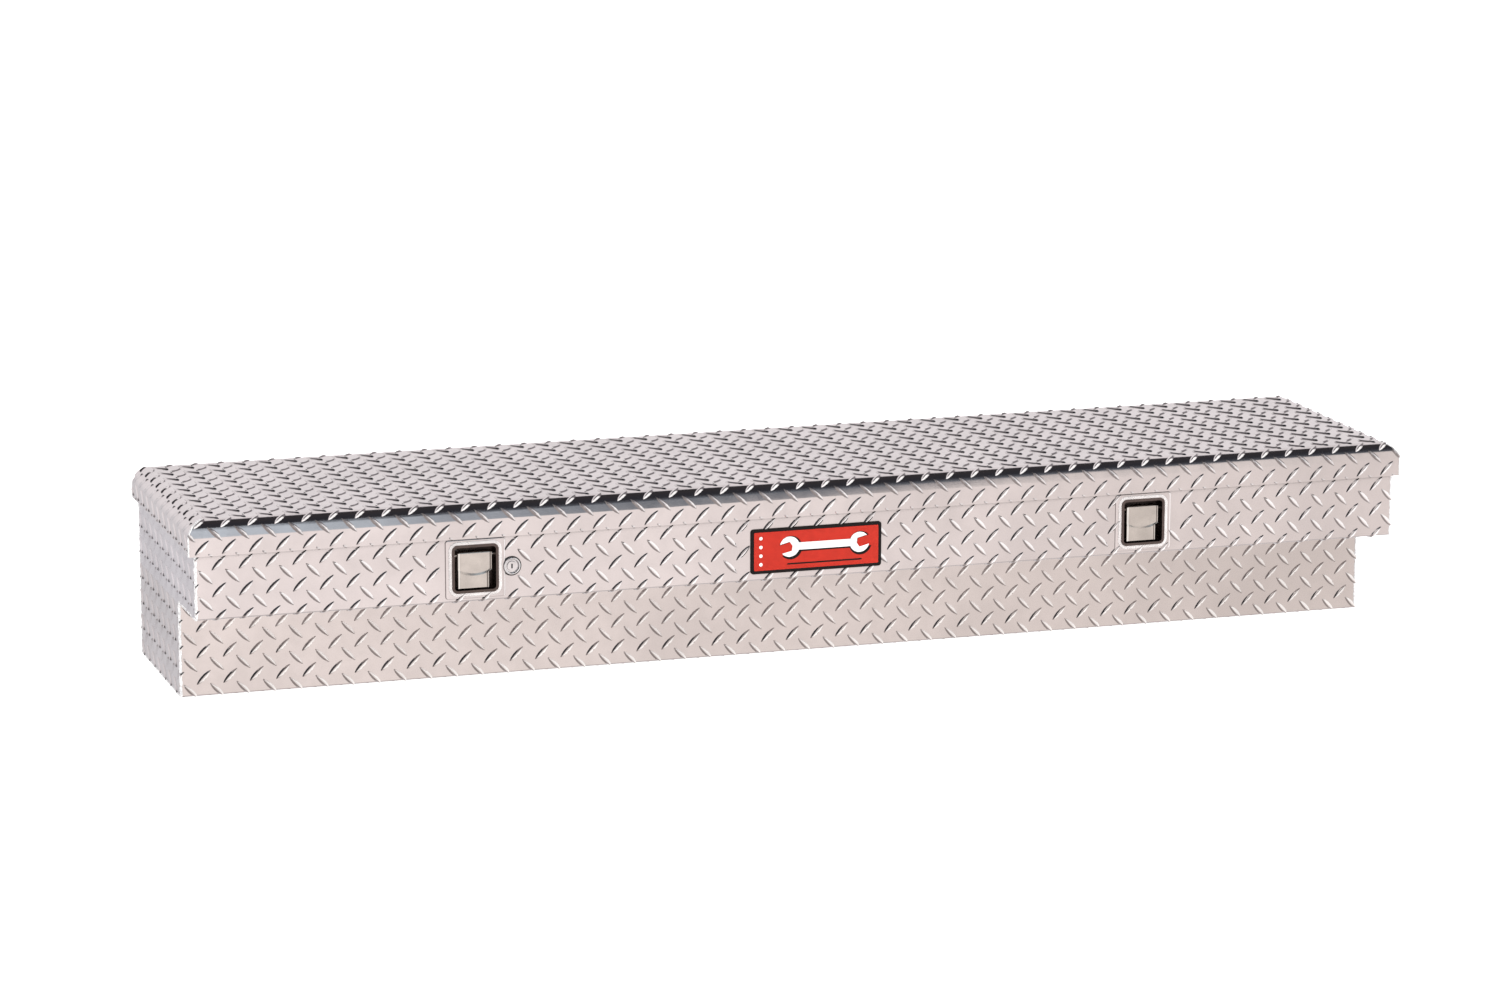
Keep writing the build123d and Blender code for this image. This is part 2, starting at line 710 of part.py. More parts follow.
def badge():
    """Thin plate on the middle of the front."""
    with BuildPart() as plate:
        with BuildSketch(front_plane(FRONT_Y, 0, BADGE_Z)):
            RectangleRounded(BADGE_WIDTH, BADGE_HEIGHT, 4)
        extrude(amount=1)
    return plate.part


# ---------------------------------------------------------------- build everything

save(body_shell(), "body_shell")
save(weather_seal(), "weather_seal")
save(lid_skin(), "lid_skin")
save(lid_stiffener(), "lid_stiffener")
save(hinge_leaf(0, HINGE_Z - 24, HINGE_Z - LEAF_GAP, BODY_RIVET_Z), "hinge_leaf_body")
save(hinge_leaf(1, LID_TOP - 2, HINGE_Z + LEAF_GAP, LID_RIVET_Z), "hinge_leaf_lid")
save(hinge_pin(), "hinge_pin")
save(hinge_rivets(BODY_RIVET_Z, BODY_RIVET_HEAD), "hinge_rivets_body")
save(hinge_rivets(LID_RIVET_Z, LID_RIVET_HEAD), "hinge_rivets_lid")
save(lock_barrel(), "lock_barrel")
save(lock_nut(), "lock_nut")
save(lock_plug(), "lock_plug")
save(lock_cam(), "lock_cam")
save(badge(), "badge")
for name, sign in SIDES.items():
    save(end_panel(sign), name + "_end_panel")
    save(strut_bracket_body(sign), "strut_bracket_body_" + name)
    save(strut_clip(sign), "strut_clip_" + name)
    save(strut_bracket_lid(sign), "strut_bracket_lid_" + name)
    save(strut_tube(sign), "strut_tube_" + name)
    save(strut_rod(sign), "strut_rod_" + name)
    save(latch_cup(sign * LATCH_X), "latch_cup_" + name)
    save(latch_gasket(sign * LATCH_X), "latch_gasket_" + name)
    save(latch_case(sign * LATCH_X), "latch_case_" + name)
    save(latch_screws(sign * LATCH_X), "latch_screws_" + name)
    save(pivot_pin(sign * LATCH_X, ROTOR_PIVOT), "rotor_pin_" + name)
    save(pivot_pin(sign * LATCH_X, PAWL_PIVOT), "pawl_pin_" + name)
    save(paddle(sign * LATCH_X), "paddle_" + name)
    save(paddle_pin(sign * LATCH_X), "paddle_pin_" + name)
    save(paddle_spring(sign * LATCH_X), "paddle_spring_" + name)
    save(rotor(sign * LATCH_X), "rotor_" + name)
    save(pawl(sign * LATCH_X), "pawl_" + name)
    save(striker(sign * LATCH_X), "striker_" + name)
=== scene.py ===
import math

import bmesh
import bpy
import numpy as np
from mathutils import Matrix, Vector

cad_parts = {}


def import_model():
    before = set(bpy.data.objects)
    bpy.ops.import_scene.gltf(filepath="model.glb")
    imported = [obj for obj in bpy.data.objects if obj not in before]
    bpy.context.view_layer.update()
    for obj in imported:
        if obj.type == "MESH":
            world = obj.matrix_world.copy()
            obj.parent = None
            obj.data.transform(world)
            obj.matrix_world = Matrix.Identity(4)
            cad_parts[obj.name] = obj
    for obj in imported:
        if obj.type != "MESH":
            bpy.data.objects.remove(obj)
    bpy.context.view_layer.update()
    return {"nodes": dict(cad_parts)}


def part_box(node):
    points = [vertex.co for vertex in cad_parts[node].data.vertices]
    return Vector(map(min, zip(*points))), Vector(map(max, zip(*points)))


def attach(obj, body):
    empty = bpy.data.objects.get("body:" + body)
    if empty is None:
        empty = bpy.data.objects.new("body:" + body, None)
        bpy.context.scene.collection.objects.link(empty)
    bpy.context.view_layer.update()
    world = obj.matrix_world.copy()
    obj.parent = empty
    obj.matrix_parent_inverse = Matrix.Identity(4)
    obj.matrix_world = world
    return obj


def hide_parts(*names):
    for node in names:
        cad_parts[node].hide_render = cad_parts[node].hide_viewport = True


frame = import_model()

# ---------------------------------------------------------------- sizes, metres

BODY_LOW, BODY_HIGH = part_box("body_shell")
LID_LOW, LID_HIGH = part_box("lid_skin")
FRONT_Y = BODY_LOW.y
BACK_Y = BODY_HIGH.y
RIM_Z = BODY_HIGH.z
SHELL_X = BODY_HIGH.x
END_X = -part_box("left_end_panel")[0].x
STEP_DEPTH = 0.113
STEP_Z = 0.134
LEDGE_Y = FRONT_Y + STEP_DEPTH
BEND = 0.0032
SHEET = 0.0016
LID_ROLL = 0.024
LID_X = LID_HIGH.x
LID_FRONT = LID_LOW.y
LID_TOP = LID_HIGH.z
LID_EDGE = LID_LOW.z
LID_END_EDGE = LID_EDGE + 0.004
INSIDE_Z = STEP_Z + 0.020
HINGE_LEAF_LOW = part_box("hinge_leaf_body")[0].z

# Tread pattern. The rings go from a lug's buried foot to its crown, as shares of its
# length, width and height.
PITCH = 0.037
LUG_LENGTH = 0.0285
LUG_WIDTH = 0.0074
LUG_HEIGHT = 0.0017
LUG_POINTS = 14
LUG_RINGS = (
    (1.00, 1.00, -0.06),
    (0.975, 0.87, 0.12),
    (0.93, 0.58, 0.52),
    (0.86, 0.28, 0.88),
    (0.78, 0.08, 1.0),
)

# Middle of one lug on each surface, in the surface's own two directions.
BODY_PHASE = (-END_X + 0.033, 0.212 - RIM_Z)
END_PHASE = (BACK_Y - 0.012, 0.011)
LID_PHASE_X = -END_X + 0.0465
LID_PHASE_BELOW_ROLL = 0.0105

# Sheet without lugs: strips along its edges, and spots round each latch and the lock. Lugs
# may start under the badge's borders but not under its middle.
LUGS_BELOW_RIM = 0.004
LUGS_OFF_HINGE = 0.002
LUGS_OFF_END_EDGE = 0.0015
LUGS_OFF_LID_EDGE = 0.0012
LUGS_OFF_LID_BACK = 0.003
BARE_LATCH_HALF_WIDTH = 0.0425
BARE_BELOW_LATCH = 0.042
BARE_ABOVE_LATCH = 0.040
BARE_LOCK_HALF = 0.014
LUGS_UNDER_BADGE_SIDES = 0.004
LUGS_UNDER_BADGE_EDGES = 0.002

# Welds. The waves make a bead uneven, as share of its radius and pace along it.
BEAD_POINTS = 8
BEAD_WAVES = ((0.12, 2.1), (0.08, 5.3))
BODY_BEAD_RADIUS = 0.0021
BODY_BEAD_DEPTH = 0.0013
BODY_BEAD_STEP = 0.003
BODY_BEAD_MARGIN = 0.004
BODY_BEAD_WOBBLE = 0.00025
BODY_BEAD_WOBBLE_PACE = 1.3
LID_BEAD_RADIUS = 0.0012
LID_BEAD_DEPTH = 0.0003
LID_BEAD_END_GAP = 0.0005
LID_BEAD_START_DEGREES = 2
LID_BEAD_ROLL_STEPS = 21
LID_BEAD_FLANGE_STEPS = 8

# Latches: outlines as width, height and corner radius. Steps are inset or outset and y from
# the front sheet, which is negative where the piece stands proud.
LATCH_CENTRES = {
    side: (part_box("latch_cup_" + side)[0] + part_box("latch_cup_" + side)[1]) / 2
    for side in ("left", "right")
}
LATCH_FLAT = (0.085, 0.0825, 0.004)
LATCH_FLAT_STEPS = ((0.0, 0.0), (0.0002, -0.0004), (0.0008, -0.0007), (0.0018, -0.0008))
LATCH_FLAT_HOLE = (0.0640, 0.0655, 0.0073)
LATCH_OPENING = (0.0615, 0.0630, 0.0058)
LATCH_RIM_STEPS = (
    (0.0, 0.0006),
    (0.0140, 0.0002),
    (0.0137, -0.0009),
    (0.0118, -0.0011),
    (0.0080, -0.0013),
    (0.0040, -0.0015),
    (0.0016, -0.0015),
    (0.0002, -0.0011),
    (-0.0006, -0.0002),
    (-0.0008, 0.0012),
)

# Cover of the pull handle. The crease is a parabola: lowest in the middle, rising sideways.
NOTCH_WIDTH = 0.0044
NOTCH_HEIGHT = 0.025
NOTCH_ROUNDING = 0.0012
COVER_SQUARES = 48
COVER_THICKNESS = 0.0009
COVER_ROUNDING = 0.0006
COVER_BACK = 0.0004
LIP_HEIGHT = 0.0010
LIP_INSET = 0.0016
LIP_SPREAD = 0.0011
CREASE_HEIGHT = 0.0009
CREASE_SPREAD = 0.0006
CREASE_Z = -0.0058
CREASE_CURVE = 10.5

# Lock: the housing's turned front as radius and y, the washer as radius and y from the front
# sheet, and the keyhole as width, height and corner radius.
LOCK_POINTS = 40
LOCK_FROM_LATCH = 0.0516
LOCK_BORE_RADIUS = 0.00655
LOCK_BARREL_RADIUS = 0.00950
LOCK_RING_RADIUS = 0.01250
LOCK_FRONT = (
    (LOCK_BORE_RADIUS, -0.1905),
    (0.00690, -0.1907),
    (0.00720, -0.1895),
    (0.00880, -0.1895),
    (0.00910, -0.1915),
    (0.00975, -0.1922),
    (0.01050, -0.1926),
    (0.01130, -0.1925),
    (0.01195, -0.1920),
    (0.01235, -0.1912),
)
WASHER_STEPS = ((0.0137, 0.0), (0.0137, -0.0005), (0.0121, -0.0007), (0.0121, 0.0))
KEYHOLE = (0.0022, 0.0056, 0.0009)
KEYHOLE_DEPTH = 0.0006
KEYHOLE_PROUD = 0.0001

# Badge: places from its middle, dots from its left end, signs as length and head radius, and
# heights of its printed layers.
BADGE_LOW, BADGE_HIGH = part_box("badge")
BADGE_THICKNESS = 0.0019
BADGE_RADIUS = 0.004
BADGE_EDGE = 0.0002
BADGE_BORDER = 0.0045
FIELD_RADIUS = 0.0015
FIELD_HEIGHT = 0.00025
FIELD_EDGE = 0.0001
DOT_COUNT = 4
DOT_PITCH = 0.0124
DOT_RADIUS = 0.0025
DOT_HEIGHT = 0.0005
DOT_INSET = 0.0144
SIGN_X = 0.012
SIGN_Z = 0.0045
SIGN_SIZE = (0.132, 0.0145)
SHADOW_SIZE = (0.136, 0.0168)
SHADOW_OFFSET = (0.0015, -0.0015)
LINE_SIZE = (0.110, 0.0022, 0.0010)
LINE_Z = -0.0200
PRINT_HEIGHT = 0.0001
PRINT_EDGE = 0.00005

# Wrench sign. The jaw's half width and corners, how much shorter the bar is than the wrench and
# the bar's width are shares of the heads' radius.
JAW_HALF_WIDTH = 0.46
JAW_CORNER = -0.12
JAW_HEEL = -0.30
HEAD_TILT = math.radians(14)
HEAD_STEPS = 30
BAR_SHORTER = 2.7
BAR_WIDTH = 0.72
BAR_ROUNDING = 0.0004
BAR_LIFT = 0.00008

# Studio.
WHITE_PANEL = (1.35, 1.33, 1.32)
LIGHT_TARGET = (0, 0, 0.1)
FLOOR_SIZE = 60
FLOOR_Z = -0.0005

# Camera at the photograph's viewing angle.
CAMERA_YAW = math.radians(18.126)
CAMERA_PITCH = math.radians(12.281)
CAMERA_TILT = math.radians(0.153)
CAMERA_LENS_MM = 120.08
CAMERA_SENSOR_MM = 36
CAMERA_PLACE = (-2.2048, -6.6289, 1.7246)


# ---------------------------------------------------------------- node helpers

def material(name):
    """Empty node material with its Principled shader."""
    made = bpy.data.materials.new(name)
    made.use_nodes = True
    shader = made.node_tree.nodes["Principled BSDF"]
    return made, made.node_tree, shader


def node(tree, kind, **values):
    """Node of a kind with its named inputs or properties set."""
    made = tree.nodes.new(kind)
    for key, value in values.items():
        if key in made.inputs:
            made.inputs[key].default_value = value
        else:
            setattr(made, key, value)
    return made


def direction(tree, output):
    """The X, Y and Z sockets of a texture coordinate."""
    where = node(tree, "ShaderNodeTexCoord")
    split = node(tree, "ShaderNodeSeparateXYZ")
    tree.links.new(where.outputs[output], split.inputs[0])
    return split.outputs


def noise(tree, scale, detail, stretch=(1, 1, 1), roughness=0.5):
    """Object-space noise, stretched by scaling each axis."""
    where = node(tree, "ShaderNodeTexCoord")
    mapping = node(tree, "ShaderNodeMapping")
    mapping.inputs["Scale"].default_value = stretch
    made = node(tree, "ShaderNodeTexNoise", Scale=scale, Detail=detail, Roughness=roughness)
    tree.links.new(where.outputs["Object"], mapping.inputs["Vector"])
    tree.links.new(mapping.outputs["Vector"], made.inputs["Vector"])
    return made.outputs["Fac"]


def ramp(tree, source, stops):
    """Colour ramp from (position, grey or colour) stops."""
    made = node(tree, "ShaderNodeValToRGB")
    while len(made.color_ramp.elements) < len(stops):
        made.color_ramp.elements.new(0.5)
    for element, (place, value) in zip(made.color_ramp.elements, stops):
        element.position = place
        colour = (value, value, value) if isinstance(value, float) else value
        element.color = (*colour, 1)
    tree.links.new(source, made.inputs["Fac"])
    return made.outputs["Color"]


def bump(tree, height, strength, distance, after=None):
    """Bump from a height, chained after another bump."""
    made = node(tree, "ShaderNodeBump", Strength=strength, Distance=distance)
    tree.links.new(height, made.inputs["Height"])
    if after is not None:
        tree.links.new(after, made.inputs["Normal"])
    return made.outputs["Normal"]


def feed(tree, source, target):
    """Link a socket to an input, or set the input to a number or a colour."""
    if isinstance(source, bpy.types.NodeSocket):
        tree.links.new(source, target)
    elif isinstance(source, tuple):
        target.default_value = (*source, 1)
    else:
        target.default_value = source


def mix(tree, factor, low, high, blend="MIX"):
    """Colour mix of two sockets or colours."""
    made = node(tree, "ShaderNodeMix", data_type="RGBA", blend_type=blend)
    feed(tree, factor, made.inputs[0])
    feed(tree, low, made.inputs[6])
    feed(tree, high, made.inputs[7])
    return made.outputs[2]


def calc(tree, operation, first, second):
    """Maths node on sockets or numbers."""
    made = node(tree, "ShaderNodeMath", operation=operation)
    feed(tree, first, made.inputs[0])
    feed(tree, second, made.inputs[1])
    return made.outputs[0]


def both(tree, first, second):
    """Product of two shares."""
    return calc(tree, "MULTIPLY", first, second)


def between(tree, source, start, stop):
    """Smooth step of a socket from 0 at start to 1 at stop, which may be the lower value."""
    made = node(tree, "ShaderNodeMapRange", interpolation_type="SMOOTHSTEP")
    made.inputs["From Min"].default_value = start
    made.inputs["From Max"].default_value = stop
    tree.links.new(source, made.inputs["Value"])
    return made.outputs["Result"]


def scaled(colour, share):
    """A colour times a share."""
    return tuple(c * share for c in colour)


# ---------------------------------------------------------------- materials

def painted_corner_shade(tree, tone, depth):
    """Painted shade: darken a tone in corners and gaps that the ambient occlusion node finds."""
    shade = node(tree, "ShaderNodeAmbientOcclusion", Distance=0.012, samples=6)
    kept = ramp(tree, shade.outputs["AO"], [(0.35, 1.0 - depth), (0.84, 1.0)])
    return mix(tree, 1.0, tone, kept, blend="MULTIPLY")


def painted_shade_below_step(tree, tone):
    """Painted shade: the sheet under the front step is multiplied slightly darker and warmer."""
    below = between(tree, direction(tree, "Object")["Z"], STEP_Z, STEP_Z - 0.004)
    return mix(tree, below, tone, (0.925, 0.915, 0.895), blend="MULTIPLY")


def tread_plate(name, colour, rough, depth=0.70):
    """Bright rolled aluminium: cloudy mill finish, fine rolling lines and a gentle waviness."""
    made, tree, shader = material(name)
    clouds = noise(tree, scale=7, detail=6)
    patches = noise(tree, scale=38, detail=5, roughness=0.6)
    lines = noise(tree, scale=60, detail=3, stretch=(0.35, 9, 9))
    waves = noise(tree, scale=2.6, detail=2)
    tone = ramp(tree, clouds, [(0.35, scaled(colour, 0.90)), (0.62, colour)])
    dulled = ramp(tree, patches, [(0.40, 0.0), (0.75, 0.35)])
    tone = mix(tree, dulled, tone, scaled(colour, 0.8))
    # Painted shade: darker in corners and gaps, as deep as depth sets, and below the front step.
    tone = painted_corner_shade(tree, painted_shade_below_step(tree, tone), depth)
    tree.links.new(tone, shader.inputs["Base Color"])
    rougher = ramp(tree, patches, [(0.3, rough * 0.8), (0.7, rough * 1.35)])
    tree.links.new(rougher, shader.inputs["Roughness"])
    shader.inputs["Metallic"].default_value = 1
    wavy = bump(tree, waves, strength=0.5, distance=0.0035)
    lined = bump(tree, lines, strength=0.10, distance=0.0003, after=wavy)
    patched = bump(tree, patches, strength=0.12, distance=0.0003, after=lined)
    tree.links.new(patched, shader.inputs["Normal"])
    return made


def brushed(name, colour, rough, stretch=(2, 60, 60), depth=0.15, metallic=1.0):
    """Brushed metal; an uneven stretch draws its lines out along one axis."""
    made, tree, shader = material(name)
    lines = noise(tree, scale=30, detail=4, stretch=stretch)
    patches = noise(tree, scale=55, detail=4)
    tone = ramp(tree, patches, [(0.3, scaled(colour, 0.82)), (0.7, colour)])
    tree.links.new(tone, shader.inputs["Base Color"])
    rougher = ramp(tree, lines, [(0.3, rough * 0.75), (0.7, rough * 1.3)])
    tree.links.new(rougher, shader.inputs["Roughness"])
    shader.inputs["Metallic"].default_value = metallic
    grooves = bump(tree, lines, strength=depth, distance=0.0002)
    tree.links.new(grooves, shader.inputs["Normal"])
    return made


def frosted_and_painted_bright(name):
    """Ground weld: pale, frosty and only half mirror-like, with small pits; its pale, mostly
    diffuse tone is also a painted highlight along the seams.
    """
    made, tree, shader = material(name)
    grains = noise(tree, scale=420, detail=4)
    tree.links.new(ramp(tree, grains, [(0.3, 0.62), (0.6, 0.93)]), shader.inputs["Base Color"])
    tree.links.new(ramp(tree, grains, [(0.3, 0.6), (0.7, 0.4)]), shader.inputs["Roughness"])
    shader.inputs["Metallic"].default_value = 0.25
    pitted = bump(tree, grains, strength=0.4, distance=0.0003)
    tree.links.new(pitted, shader.inputs["Normal"])
    return made


def zinc(name):
    """Zinc-plated steel: faint crystal patches and a slight yellow-blue cast."""
    made, tree, shader = material(name)
    where = node(tree, "ShaderNodeTexCoord")
    cells = node(tree, "ShaderNodeTexVoronoi", Scale=260)
    tree.links.new(where.outputs["Object"], cells.inputs["Vector"])
    clouds = noise(tree, scale=60, detail=4)
    tone = ramp(tree, clouds, [(0.35, (0.55, 0.56, 0.60)), (0.65, (0.70, 0.69, 0.62))])
    tree.links.new(tone, shader.inputs["Base Color"])
    rougher = ramp(tree, cells.outputs["Color"], [(0.0, 0.28), (1.0, 0.42)])
    tree.links.new(rougher, shader.inputs["Roughness"])
    shader.inputs["Metallic"].default_value = 1
    uneven = bump(tree, clouds, strength=0.1, distance=0.0002)
    tree.links.new(uneven, shader.inputs["Normal"])
    return made


def rubber(name):
    """Matt black rubber with a dusty, finely pitted skin."""
    made, tree, shader = material(name)
    dust = noise(tree, scale=45, detail=6)
    pits = noise(tree, scale=900, detail=2)
    tree.links.new(ramp(tree, dust, [(0.4, 0.012), (0.75, 0.035)]), shader.inputs["Base Color"])
    tree.links.new(ramp(tree, dust, [(0.3, 0.62), (0.7, 0.8)]), shader.inputs["Roughness"])
    pitted = bump(tree, pits, strength=0.3, distance=0.0002)
    tree.links.new(pitted, shader.inputs["Normal"])
    return made


def paint(name, colour, rough=0.35, coat=0.4, specular=0.5):
    """Smooth paint or print with slight orange peel and small tone changes."""
    made, tree, shader = material(name)
    clouds = noise(tree, scale=90, detail=3)
    peel = noise(tree, scale=1200, detail=2)
    tone = ramp(tree, clouds, [(0.35, scaled(colour, 0.9)), (0.65, colour)])
    tree.links.new(tone, shader.inputs["Base Color"])
    shader.inputs["Roughness"].default_value = rough
    shader.inputs["Coat Weight"].default_value = coat
    shader.inputs["Coat Roughness"].default_value = 0.15
    shader.inputs["Specular IOR Level"].default_value = specular
    peeled = bump(tree, peel, strength=0.05, distance=0.0001)
    tree.links.new(peeled, shader.inputs["Normal"])
    return made


def print_ink(name, colour, rough):
    """Flat print without a glossy coat."""
    return paint(name, colour, rough, coat=0.0, specular=0.25)


# The lugs get a brighter copy of the plate colour, a painted highlight. The end plates and their
# lugs get a cooler copy with weaker painted corner shade (depth), painted light for how light falls
# on the ends.
PLATE = tread_plate("tread_plate", (0.85, 0.81, 0.81), rough=0.11)
END_PLATE = tread_plate("end_plate", (0.86, 0.84, 0.86), rough=0.20, depth=0.35)
LUGS = tread_plate("tread_lugs", (0.90, 0.87, 0.87), rough=0.12)
END_LUGS = tread_plate("end_lugs", (0.88, 0.86, 0.88), rough=0.22, depth=0.35)
PLAIN = brushed("mill_aluminium", (0.80, 0.80, 0.81), rough=0.42, metallic=0.55)
STAINLESS = brushed("stainless_hinge", (0.70, 0.70, 0.71), rough=0.26)
POLISHED = brushed("polished_stainless", (0.72, 0.685, 0.64), rough=0.16, depth=0.10)
SATIN = brushed(
    "satin_pressing", (0.84, 0.81, 0.80), rough=0.30, stretch=(2, 2, 2), depth=0.01, metallic=0.55
)
# Painted shade: the latch cup gets a dark brown colour for the shade in its recess.
CUP_PAINTED_SHADE = brushed("pressed_cup_painted_shade", (0.17, 0.135, 0.125), rough=0.42)
ZINC = zinc("zinc_plate")
CHROME = brushed("hard_chrome", (0.86, 0.86, 0.87), rough=0.09, depth=0.03)
WELD = frosted_and_painted_bright("frosted_weld")
RUBBER = rubber("seal_rubber")
BLACK = paint("black_paint", (0.015, 0.015, 0.016))
BADGE_BLACK = print_ink("badge_black", (0.006, 0.004, 0.004), rough=0.6)
BADGE_RED = print_ink("badge_red", (0.47, 0.022, 0.010), rough=0.6)
BADGE_WHITE = print_ink("badge_white", (0.86, 0.85, 0.83), rough=0.5)

# By the start of a node's name. The longest start that fits is used, and zinc where none fits.
NODE_MATERIALS = {
    "body_shell": PLATE,
    "left_end_panel": END_PLATE,
    "right_end_panel": END_PLATE,
    "lid_skin": PLATE,
    "lid_stiffener": PLAIN,
    "hinge_rivets": PLAIN,
    "hinge": STAINLESS,
    "latch_cup": CUP_PAINTED_SHADE,
    "latch_gasket": RUBBER,
    "weather_seal": RUBBER,
    "paddle_spring": CHROME,
    "paddle": POLISHED,
    "strut_tube": BLACK,
    "strut_rod": CHROME,
    "lock_barrel": CHROME,
    "lock_plug": CHROME,
}


def bare_inside(shown):
    """Plain mill finish on the faces of a sheet piece that look towards the box's inside."""
    shown.data.materials.append(PLAIN)
    heart = Vector((0, (FRONT_Y + BACK_Y) / 2, INSIDE_Z))
    for face in shown.data.polygons:
        if face.normal.dot(face.center - heart) < 0:
            face.material_index = 1


def dress_nodes():
    """Give every CAD node its material."""
    for name, shown in frame["nodes"].items():
        fitting = [key for key in NODE_MATERIALS if name.startswith(key)]
        chosen = NODE_MATERIALS[max(fitting, key=len)] if fitting else ZINC
        shown.data.materials.clear()
        shown.data.materials.append(chosen)
        if name in ("body_shell", "lid_skin", "left_end_panel", "right_end_panel"):
            bare_inside(shown)


# ---------------------------------------------------------------- mesh helpers

def piece(name, mesh, chosen, body, smooth=True):
    """Object of a finished mesh with its material, riding on a CAD body."""
    if smooth:
        mesh.polygons.foreach_set("use_smooth", [True] * len(mesh.polygons))
    mesh.materials.append(chosen)
    made = bpy.data.objects.new(name, mesh)
    bpy.context.scene.collection.objects.link(made)
    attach(made, body)
    return made


def make(name, vertices, faces, chosen, slot, body, smooth=True):
    """Piece from points and faces."""
    mesh = bpy.data.meshes.new(name)
    mesh.from_pydata([tuple(v) for v in vertices], [], [tuple(f) for f in faces])
    mesh.validate()
    return piece(name, mesh, chosen, body, smooth)


def sharpen(made, degrees):
    """Split the shading where faces meet at more than an angle."""
    mesh = made.data
    mesh.update()
    mesh.set_sharp_from_angle(angle=math.radians(degrees))


def rounded_loop(width, height, radius, count=8):
    """Points of a rounded rectangle about the origin, anticlockwise."""
    points = []
    corners = ((1, 1, 0), (-1, 1, 90), (-1, -1, 180), (1, -1, 270))
    for sx, sy, start in corners:
        for i in range(count + 1):
            turn = math.radians(start + 90 * i / count)
            x = sx * (width / 2 - radius) + radius * math.cos(turn)
            y = sy * (height / 2 - radius) + radius * math.sin(turn)
            points.append((x, y))
    return points


def circle(x, z, radius, count=28):
    """Points of a circle in the front plane."""
    turns = [2 * math.pi * i / count for i in range(count)]
    return [(x + radius * math.cos(turn), z + radius * math.sin(turn)) for turn in turns]


def at_depth(outline, y, x=0, z=0):
    """Points of a front-facing outline, moved sideways and up and put at a depth."""
    return [(x + a, y, z + b) for a, b in outline]


def loft(loops, ring=False):
    """Vertices and faces through loops of equally many points, closed by caps or into a ring."""
    count = len(loops[0])
    vertices = [p for loop in loops for p in loop]
    faces = []
    spans = len(loops) if ring else len(loops) - 1
    for k in range(spans):
        low = k * count
        high = ((k + 1) % len(loops)) * count
        for i in range(count):
            j = (i + 1) % count
            faces.append((low + i, low + j, high + j, high + i))
    if not ring:
        last = spans * count
        faces.append(tuple(reversed(range(count))))
        faces.append(tuple(range(last, last + count)))
    return vertices, faces


# ---------------------------------------------------------------- tread lugs

def lug_template():
    """Points and faces of one lug that lies along the first axis."""
    loops = []
    for along, across, height in LUG_RINGS:
        loop = []
        for i in range(LUG_POINTS):
            turn = 2 * math.pi * i / LUG_POINTS
            side = math.sin(turn)
            u = along * math.cos(turn) * LUG_LENGTH / 2
            v = across * side * abs(side) ** 0.5 * LUG_WIDTH / 2
            loop.append((u, v, height * LUG_HEIGHT))
        loops.append(loop)
    points, faces = loft(loops)
    return np.array(points), faces


LUG, LUG_FACES = lug_template()


def rows(first, low, high):
    """Places a pitch apart, counted from a first one, between two limits."""
    start = math.ceil((low - first) / PITCH)
    stop = math.floor((high - first) / PITCH)
    return [first + i * PITCH for i in range(start, stop + 1)]


def lug_centres(stretch, phase):
    """Lug middles near a stretch of sheet, as (u, v, direction); the two directions alternate."""
    u_low, u_high, v_low, v_high = stretch
    reach = LUG_LENGTH / 2
    found = []
    for shift, turn in ((0.0, math.radians(45)), (PITCH / 2, math.radians(-45))):
        for u in rows(phase[0] + shift, u_low - reach, u_high + reach):
            for v in rows(phase[1] + shift, v_low - reach, v_high + reach):
                found.append((u, v, turn))
    return found


def trim(drawn, point, outward):
    """Cut a mesh along a plane, drop what lies outside and close the cut lugs."""
    everything = drawn.verts[:] + drawn.edges[:] + drawn.faces[:]
    cut = bmesh.ops.bisect_plane(
        drawn, geom=everything, plane_co=point, plane_no=outward, dist=1e-7, clear_outer=True
    )
    rim = [e for e in cut["geom_cut"] if isinstance(e, bmesh.types.BMEdge)]
    if rim:
        bmesh.ops.edgenet_fill(drawn, edges=rim)


def flat_lugs(stretch, phase, bare_zones):
    """Lugs on a flat stretch of sheet, none with its middle in a bare zone, cut at the borders."""
    u_low, u_high, v_low, v_high = stretch
    drawn = bmesh.new()
    for u, v, turn in lug_centres(stretch, phase):
        if any(a < u < b and c < v < d for a, b, c, d in bare_zones):
            continue
        spin = np.array([[math.cos(turn), -math.sin(turn)], [math.sin(turn), math.cos(turn)]])
        flat = LUG[:, :2] @ spin.T + (u, v)
        low, high = flat.min(0), flat.max(0)
        if low[0] > u_high or high[0] < u_low or low[1] > v_high or high[1] < v_low:
            continue
        corners = [drawn.verts.new((p[0], p[1], h)) for p, h in zip(flat, LUG[:, 2])]
        for face in LUG_FACES:
            drawn.faces.new([corners[i] for i in face])
    trim(drawn, (u_low, 0, 0), (-1, 0, 0))
    trim(drawn, (u_high, 0, 0), (1, 0, 0))
    trim(drawn, (0, v_low, 0), (0, -1, 0))
    trim(drawn, (0, v_high, 0), (0, 1, 0))
    return drawn


